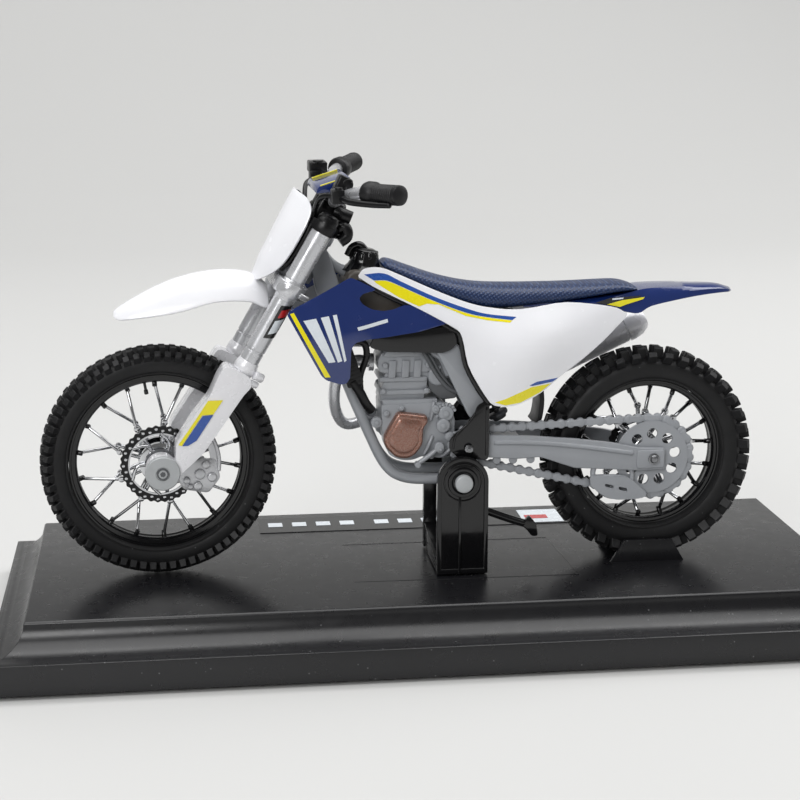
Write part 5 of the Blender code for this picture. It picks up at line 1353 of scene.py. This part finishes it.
# %% tyre
def make_tyre(name, node, centre, radius, rim, half, count, rows, knob):
    """rows holds (y, tilt, half-step) for each row of knobs; knob is (length, width, height)."""
    carcass = radius - knob[2]
    bead = rim + 0.15
    section = smooth_route([
        (bead, -half * 0.62), (bead + 0.5, -half * 0.9), (bead + (carcass - bead) * 0.45, -half),
        (carcass - 0.9, -half * 0.93), (carcass - 0.2, -half * 0.6), (carcass, 0.0),
        (carcass - 0.2, half * 0.6), (carcass - 0.9, half * 0.93), (bead + (carcass - bead) * 0.45, half),
        (bead + 0.5, half * 0.9), (bead, half * 0.62)], 3)
    body = Shape()
    body.hoop(centre, section, 120)
    for side in (-1, 1):
        body.hoop(centre, [
            (bead + 0.15, side * half * 0.72), (bead + 0.5, side * half * 0.72),
            (bead + 0.5, side * (half * 0.9 + 0.14)), (bead + 0.3, side * (half * 0.9 + 0.14))], 96)
    make(name + "_carcass", body, RUBBER, replaces=[node])
    tread = Shape()
    for y, tilt, shift in rows:
        for k in range(count):
            turn = math.tau * (k + shift) / count
            out = Vector((math.cos(turn), 0.0, math.sin(turn)))
            ahead = Vector((-math.sin(turn), 0.0, math.cos(turn)))
            lean = math.radians(tilt)
            up = out * math.cos(lean) + Vector((0, math.sin(lean), 0))
            aside = ahead.cross(up)
            base = centre + out * (radius - knob[2] * 0.62 - abs(y / half) ** 3 * 0.9) + Vector((0, y, 0))
            turn3 = Matrix((ahead, aside, up)).transposed()
            tread.block(base, (knob[0], knob[1], knob[2] * 1.25), turn3, 0.84)
    make(name + "_knobs", tread, KNOB, on=node, bevel=0.07, steps=1)


FRONT_KNOBS, REAR_KNOBS = 68, 38
print("degrees from knob to knob:", round(360 / FRONT_KNOBS, 1), "and", round(360 / REAR_KNOBS, 1))

# %% [markdown]
# ## Rim, spokes and hub
# The rim is a closed section carried round the axle, with a nipple where each spoke enters. Spokes run
# in pairs from the hub's flange and part on their way out. Chromed plastic spokes are thicker than
# scale, and so are these.


# %% rim
def make_rim(name, node, centre, radii, half, angles):
    """radii are the inner and outer ones; angles are where the spokes arrive."""
    rim = Shape()
    inner, outer = radii
    rim.hoop(centre, smooth_route([
        (inner + 0.25, -half * 0.2), (inner + 0.1, -half * 0.6), (inner + 0.45, -half * 0.98)], 3)
        + [(outer - 0.1, -half), (outer, -half * 0.9), (outer, half * 0.9), (outer - 0.1, half)]
        + smooth_route([(inner + 0.45, half * 0.98), (inner + 0.1, half * 0.6), (inner + 0.25, half * 0.2)], 3),
        120)
    for side in (-1, 1):
        rim.hoop(centre, [(outer - 0.35, side * half * 0.9), (outer + 0.1, side * half * 0.9),
                          (outer + 0.05, side * (half + 0.35)), (outer - 0.2, side * (half + 0.35))], 120)
    for k, turn in enumerate(angles):
        rim.rod(around(centre, turn, inner + 0.5), around(centre, turn, inner - 0.75, 0.55 * (-1) ** k), 0.42,
                0.15, 12)
    make(name, rim, GLOSS_BLACK, replaces=[node], angle=40)


def spoke_angles(pairs, first):
    """Two spokes for each pair, half a pair's pitch apart."""
    step = math.pi / pairs
    return [first + 2 * step * k + s * step / 2 for k in range(pairs) for s in (-1, 1)]


print("spokes in a wheel:", len(spoke_angles(9, 0.0)))


# %% hub and spokes
def make_hub(name, node, centre, flange, barrel, half, reach, pairs, first, radius, drop):
    """flange, reach, barrel and drop are distances from the axle; radius is a spoke's."""
    hub = Shape()
    step = math.pi / pairs
    for k in range(pairs):
        meet = first + 2 * step * k
        for s in (-1, 1):
            end = meet + s * step / 2
            y = half * 0.8 * (1 if s > 0 else -1)
            hub.rod(around(centre, meet, flange, y), around(centre, end, reach, -y * 0.15), radius, 0.08, 12)
        for side in (-1, 1):
            y = side * half * 0.8
            hub.rod(around(centre, meet, flange, y - 0.3), around(centre, meet, flange, y + 0.3),
                    radius * 1.9, 0.1, 12)
    for side in (-1, 1):
        y = side * half
        hub.hoop(centre, [(barrel * 0.7, y * 0.6), (drop, y * 0.6), (drop, y * 0.95), (drop - 0.3, y),
                          (barrel * 0.7, y)], 64)
        for k in range(pairs):
            turn = first + math.tau * k / pairs
            hub.rod(around(centre, turn, drop * 0.9, y * 0.8), around(centre, turn, flange, y * 0.8),
                    radius * 1.3, 0.08, 10)
    hub.hoop(centre, [(1.05, -half * 1.3), (barrel * 0.8, -half * 1.3), (barrel, -half * 0.8),
                      (barrel * 0.75, 0.0), (barrel, half * 0.8), (barrel * 0.8, half * 1.3),
                      (1.05, half * 1.3)], 48)
    make(name, hub, CHROME, replaces=[node], angle=40)


# %% front wheel
FRONT_PAIRS = 9
FRONT_FIRST = math.radians(82)
front_angles = spoke_angles(FRONT_PAIRS, FRONT_FIRST)
make_tyre("front_tyre", "front_tyre", FRONT_AXLE, 19.5, 14.75, 2.6, FRONT_KNOBS, (
    (-2.3, -40, 0.0), (-0.85, -8, 0.5), (0.85, 8, 0.5), (2.3, 40, 0.0)), (1.2, 1.3, 1.2))
make_rim("front_rim_ring", "front_rim", FRONT_AXLE, (13.4, 14.75), 1.25, front_angles)
make_hub("front_hub_and_spokes", "front_hub", FRONT_AXLE, 6.9, 2.0, 2.3, 13.2, FRONT_PAIRS, FRONT_FIRST, 0.27,
         3.4)
valve = Shape()
valve_turn = math.radians(99)
for far, near, radius, lip in ((13.6, 11.6, 0.24, 0.08), (12.2, 11.4, 0.36, 0.1)):
    valve.rod(around(FRONT_AXLE, valve_turn, far), around(FRONT_AXLE, valve_turn, near), radius, lip, 12)
make("front_valve", valve, GLOSS_BLACK, on="front_rim")


# %% [markdown]
# ## Brake discs
# Each disc is a black ring with a wavy edge, drilled round its middle. Pale studs stand for the drilled
# holes, as the real model's are only moulded dimples that catch the light, and a chromed spider
# carries the ring.


# %% brake discs
def make_disc(name, node, centre, outer, inner, y0, y1, holes, carrier):
    """A scalloped, drilled ring on a spidery chromed carrier."""
    ring = Shape()
    steps = holes * 8
    rings = []
    for k in range(steps):
        turn = math.tau * k / steps
        edge = outer + 0.12 * math.cos(holes * turn)
        rings.append([(centre.x + r * math.cos(turn), y, centre.z + r * math.sin(turn))
                      for r, y in ((inner, y0), (edge, y0), (edge, y1), (inner, y1))])
    ring.loft(rings, wrap=True)
    make(name, ring, BLACK, replaces=[node], bevel=0.05, steps=1)
    studs = Shape()
    middle = (inner + outer) / 2
    side = -1 if y0 < 0 else 1
    face = min(y0, y1) if side < 0 else max(y0, y1)
    for k in range(holes):
        turn = math.tau * k / holes
        at = seen(around(centre, turn, middle + (0.16 if k % 2 else -0.16)))
        studs.cross_rod(at, 0.27, face - side * 0.3, face + side * 0.07, 0.05, 12)
    for k in range(carrier):
        turn = math.tau * k / carrier
        studs.tube([around(centre, turn + lag, reach, (y0 + y1) / 2)
                    for lag, reach in ((0.0, 2.4), (0.1, 3.9), (0.5, inner))], 0.3, 10, 5)
    studs.hoop(centre, [(1.3, y0), (2.6, y0), (2.6, y1), (1.3, y1)], 48)
    studs.hoop(centre, [(inner - 0.25, y0 + 0.05), (inner + 0.05, y0 + 0.05), (inner + 0.05, y1 - 0.05),
                        (inner - 0.25, y1 - 0.05)], 64)
    make(name + "_carrier", studs, CHROME, on=node, angle=40)


make_disc("front_disc", "front_brake_disc", FRONT_AXLE, 6.5, 5.3, -3.0, -2.6, 34, 6)
make_disc("rear_disc", "rear_brake_disc", REAR_AXLE, 5.3, 4.2, 3.9, 4.3, 26, 6)

# %% [markdown]
# ## Rear wheel
# The same makers draw the rear wheel, which is smaller across, fatter and has taller, wider-spaced
# knobs with an extra row along the crown.

# %% rear wheel
REAR_PAIRS = 9
REAR_FIRST = math.radians(96)
rear_angles = spoke_angles(REAR_PAIRS, REAR_FIRST)
make_tyre("rear_tyre", "rear_tyre", REAR_AXLE, 18.35, 12.6, 3.2, REAR_KNOBS, (
    (-2.8, -42, 0.5), (-1.3, -12, 0.0), (0.0, 0, 0.0), (1.3, 12, 0.0), (2.8, 42, 0.5)), (1.7, 1.2, 1.7))
make_rim("rear_rim_ring", "rear_rim", REAR_AXLE, (11.45, 12.6), 1.6, rear_angles)
make_hub("rear_hub_and_spokes", "rear_hub", REAR_AXLE, 7.4, 2.0, 3.1, 11.2, REAR_PAIRS, REAR_FIRST, 0.33, 3.0)

# %% [markdown]
# ## Swingarm
# Two tapering arms joined by a bridge, cast and sprayed grey. Each is a rounded plate with a ridge
# along its upper edge and a raised pad at the axle.

# %% swingarm
axle_rear = seen(REAR_AXLE)
arm_outline = arc(seen(PIVOT), 1.9, 100, 260, 8)
arm_outline += [(8.2, 29.6), (13.0, 29.2), (17.0, 29.4), (22.9, 27.3), (30.0, 26.8), (34.0, 26.5), (38.6, 26.5)]
arm_outline += [(38.6, 30.3), (34.0, 30.5), (30.0, 31.4), (22.9, 32.4), (15.0, 33.1), (8.2, 33.5)]
arms = Shape()
for side in (-1, 1):
    arms.prism(rounded(arm_outline, 0.5), side * 4.9, side * 5.8)
    ridge = [(9.0, 32.2), (16.0, 31.9), (24.0, 31.0), (33.0, 29.6)]
    arms.tube([(x, side * 5.6, z) for x, z in ridge], 0.5, 14)
    arms.prism(rounded([(33.6, 26.9), (38.4, 26.9), (38.4, 30.1), (33.6, 30.1)], 0.5), side * 5.7, side * 6.1)
arms.prism([(9.2, 30.2), (9.2, 32.6), (13.8, 32.6), (14.6, 31.6), (14.6, 30.0)], -5.2, 5.2)
for x in (9.6, 12.4, 15.4):
    arms.cross_rod((x, 29.0), 0.7, -5.5, -4.9, 0.15)
make("swingarm_casting", arms, GREY, replaces=["swingarm"], bevel=0.3, steps=3, angle=45)
spindle = Shape()
spindle.cross_rod(axle_rear, 0.75, -6.5, 6.5)
for side in (-1, 1):
    spindle.turned((axle_rear[0], side * 6.0, axle_rear[1]), (axle_rear[0], side * 6.9, axle_rear[1]), [
        (0, 0.95), (0.45, 0.95), (0.5, 0.7), (0.6, 0.62), (0.8, 0.5), (0.85, 0.2)])
make("rear_spindle", spindle, STEEL, replaces=["rear_axle"])

# %% [markdown]
# ## Chain, sprocket and guide
# On a model this small the chain, sprocket and guide are moulded with the swingarm, in the same grey.
# The chain still shows its links, so rollers and side plates are set along the loop at their pitch. An
# array on a curve could do it too, but would stretch the last link.

# %% the chain's line
CHAIN_FRONT = 2.45
CHAIN_REAR = 6.75


def chain_loop():
    """The chain's own line: two straight runs and two arcs, read at even steps."""
    x0, z0, x1, z1 = PIVOT.x, PIVOT.z, REAR_AXLE.x, REAR_AXLE.z
    heading = math.degrees(math.atan2(z1 - z0, x1 - x0))
    lean = math.degrees(math.acos((CHAIN_FRONT - CHAIN_REAR) / math.hypot(x1 - x0, z1 - z0)))
    loop = arc((x1, z1), CHAIN_REAR, heading - lean, heading + lean, 60)
    loop += arc((x0, z0), CHAIN_FRONT, heading + lean, heading + 360 - lean, 40)
    points = [Vector(point) for point in loop]
    points.append(points[0])
    far = np.concatenate([[0], np.cumsum([(b - a).length for a, b in zip(points, points[1:])])])
    count = 2 * round(far[-1] / 3.3)
    at = np.linspace(0, far[-1], count, endpoint=False)
    xs = np.interp(at, far, [point.x for point in points])
    zs = np.interp(at, far, [point.y for point in points])
    return list(zip(xs, zs))


links = chain_loop()
print("chain pins:", len(links))

# %% chain
chain = Shape()
for k, (x, z) in enumerate(links):
    ahead = Vector(links[(k + 1) % len(links)]) - Vector((x, z))
    chain.cross_rod((x, z), 0.8, -4.62, -3.68, 0.22, 18)
    along = ahead.normalized()
    turn = Matrix(((along.x, 0, along.y), (0, 1, 0), (-along.y, 0, along.x))).transposed()
    middle = Vector((x, 0, z)) + Vector((ahead.x, 0, ahead.y)) / 2
    for y in ((-4.55, -4.25) if k % 2 else (-4.35, -4.1)):
        chain.block(middle + Vector((0, y, 0)), (ahead.length * 1.05, 0.24, 1.0), turn)
    chain.block(middle + Vector((0, -4.15, 0)), (ahead.length, 0.6, 0.9), turn)
make("chain_links", chain, GREY, replaces=["chain"], bevel=0.06, steps=1)

# %% sprocket
HOLES = 9
sprocket = Shape()
holes = [arc(axle_rear, 1.05, 360, 15, 23)]
for k in range(HOLES):
    holes.append(arc(seen(around(REAR_AXLE, math.tau * (k + 0.25) / HOLES, 4.1)), 0.95, 360, 15, 23))
sprocket.holed(arc(axle_rear, 6.3, 0, 355, 71), holes, -4.4)
make("rear_sprocket_wheel", sprocket, GREY, replaces=["rear_sprocket"], wall=0.5, even=False, angle=45)
studs = Shape()
for k in range(HOLES):
    turn = math.tau * (k + 0.75) / HOLES
    for reach, radius, face, lip in ((5.1, 0.42, -4.7, 0.18), (2.6, 0.35, -4.65, 0.15)):
        studs.cross_rod(seen(around(REAR_AXLE, turn, reach)), radius, face, -4.3, lip, 14)
make("sprocket_studs", studs, GREY, on="rear_sprocket")

# %% chain guide
guide = Shape()
guide_outline = [(25.6, 25.8), (26.6, 25.9), (31.9, 25.5), (33.4, 24.6), (35.0, 23.1), (35.7, 22.1),
                 (34.4, 21.6),
                 (30.4, 21.5), (28.6, 22.0), (27.2, 22.9), (25.7, 24.2)]
slots = [rounded([(x, z + 0.35), (x + 1.5, z), (x + 1.6, z - 0.6), (x + 0.1, z - 0.25)], 0.25) for x, z in (
    (28.2, 24.1), (30.6, 23.5))]
guide.holed(rounded(guide_outline, 0.6), slots, -5.3)
make("chain_guide_plate", guide, GREY, replaces=["chain_guide"], wall=0.6, even=False, angle=45)
guide_edge = Shape()
guide_edge.tube([(26.0, -5.25, 25.6), (29.0, -5.35, 25.6), (31.9, -5.35, 25.2), (34.4, -5.35, 23.2),
                 (35.2, -5.35, 22.1), (31.0, -5.35, 21.8), (28.4, -5.35, 22.3), (26.2, -5.25, 24.2)], 0.34, 12)
guide_edge.tube([(26.4, -5.2, 27.2), (26.2, -5.2, 26.2), (26.4, -5.2, 25.2)], 0.45, 12)
guide_edge.tube([(32.6, -5.2, 27.0), (33.0, -5.2, 26.0), (33.0, -5.2, 24.8)], 0.4, 12)
make("chain_guide_rim", guide_edge, GREY, on="chain_guide")

# %% [markdown]
# ## Shock absorber
# A black spring sits over a rod behind the engine. In use it shortens as the swingarm rises. The coil
# is drawn at its resting length, rides on the spring's own body and gets a mesh of its own.

# %% shock body and rod
rod_axis = Vector(JOINTS["shock_stroke"]["axis"]).normalized()
down = -rod_axis


def shock_point(reach):
    """A point on the shock's line, so many millimetres below its upper eye."""
    return SHOCK_TOP + down * reach


SHOCK_LENGTH = 10.29
UPPER_COLLAR = 2.5
LOWER_COLLAR = SHOCK_LENGTH - 2.1
upper_shock = Shape()
upper_shock.cross_rod(seen(SHOCK_TOP), 1.7, -1.2, 1.2, 0.2)
upper_shock.rod(shock_point(1.3), shock_point(5.3), 0.78)
upper_shock.rod(shock_point(1.9), shock_point(UPPER_COLLAR), 1.75)
make("shock_barrel", upper_shock, BLACK, replaces=["shock_body"])
rod = Shape()
rod.rod(shock_point(3.6), shock_point(SHOCK_LENGTH - 1.9), 0.42)
rod.rod(shock_point(LOWER_COLLAR), shock_point(SHOCK_LENGTH - 1.5), 1.75)
rod.rod(shock_point(SHOCK_LENGTH - 1.6), shock_point(SHOCK_LENGTH - 0.9), 1.2)
make("shock_plunger", rod, GREY_DARK, replaces=["shock_rod"])

# %% spring
side_dir = Vector((0, 1, 0))
other_dir = down.cross(side_dir)
coil_turns, coil_steps = 4, 20
first, last = 2.9, SHOCK_LENGTH - 2.5
coil = []
for k in range(coil_turns * coil_steps + 1):
    a = math.tau * k / coil_steps
    reach = first + (last - first) * k / (coil_turns * coil_steps)
    coil.append(shock_point(reach) + (side_dir * math.cos(a) + other_dir * math.sin(a)) * 1.56)
coil_piece = make("coil_spring", Shape().tube(coil, 0.24, 12, 1), GLOSS_BLACK, replaces=["shock_spring"])
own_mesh(coil_piece)

# %% [markdown]
# ## Kickstand
# A thin moulded leg with a shaped foot swings down beside the clip. A swept tube gives the leg and a
# small rounded plate the foot.

# %% kickstand
leg_route = [(STAND_PIVOT.x, -5.0, STAND_PIVOT.z), (8.2, -5.0, 20.1), (12.0, -5.0, 18.6), (14.6, -5.0, 17.7)]
stand = Shape()
stand.cross_rod(seen(STAND_PIVOT), 1.1, -5.6, -4.4)
stand.tube(leg_route, 0.68, 16)
stand.prism(rounded([(14.0, 17.5), (15.4, 19.1), (16.6, 17.6), (16.9, 15.5), (15.8, 15.5), (15.0, 16.6)], 0.4),
            -5.6, -4.4)
make("kickstand_leg", stand, GLOSS_BLACK, replaces=["kickstand"], bevel=0.15, angle=45)

# %% [markdown]
# At the end the scene is brought up to date, and the finished pieces and their faces are counted.

bpy.context.view_layer.update()
print("pieces:", len(made_pieces), "faces:", sum(len(piece.data.polygons) for piece in made_pieces))
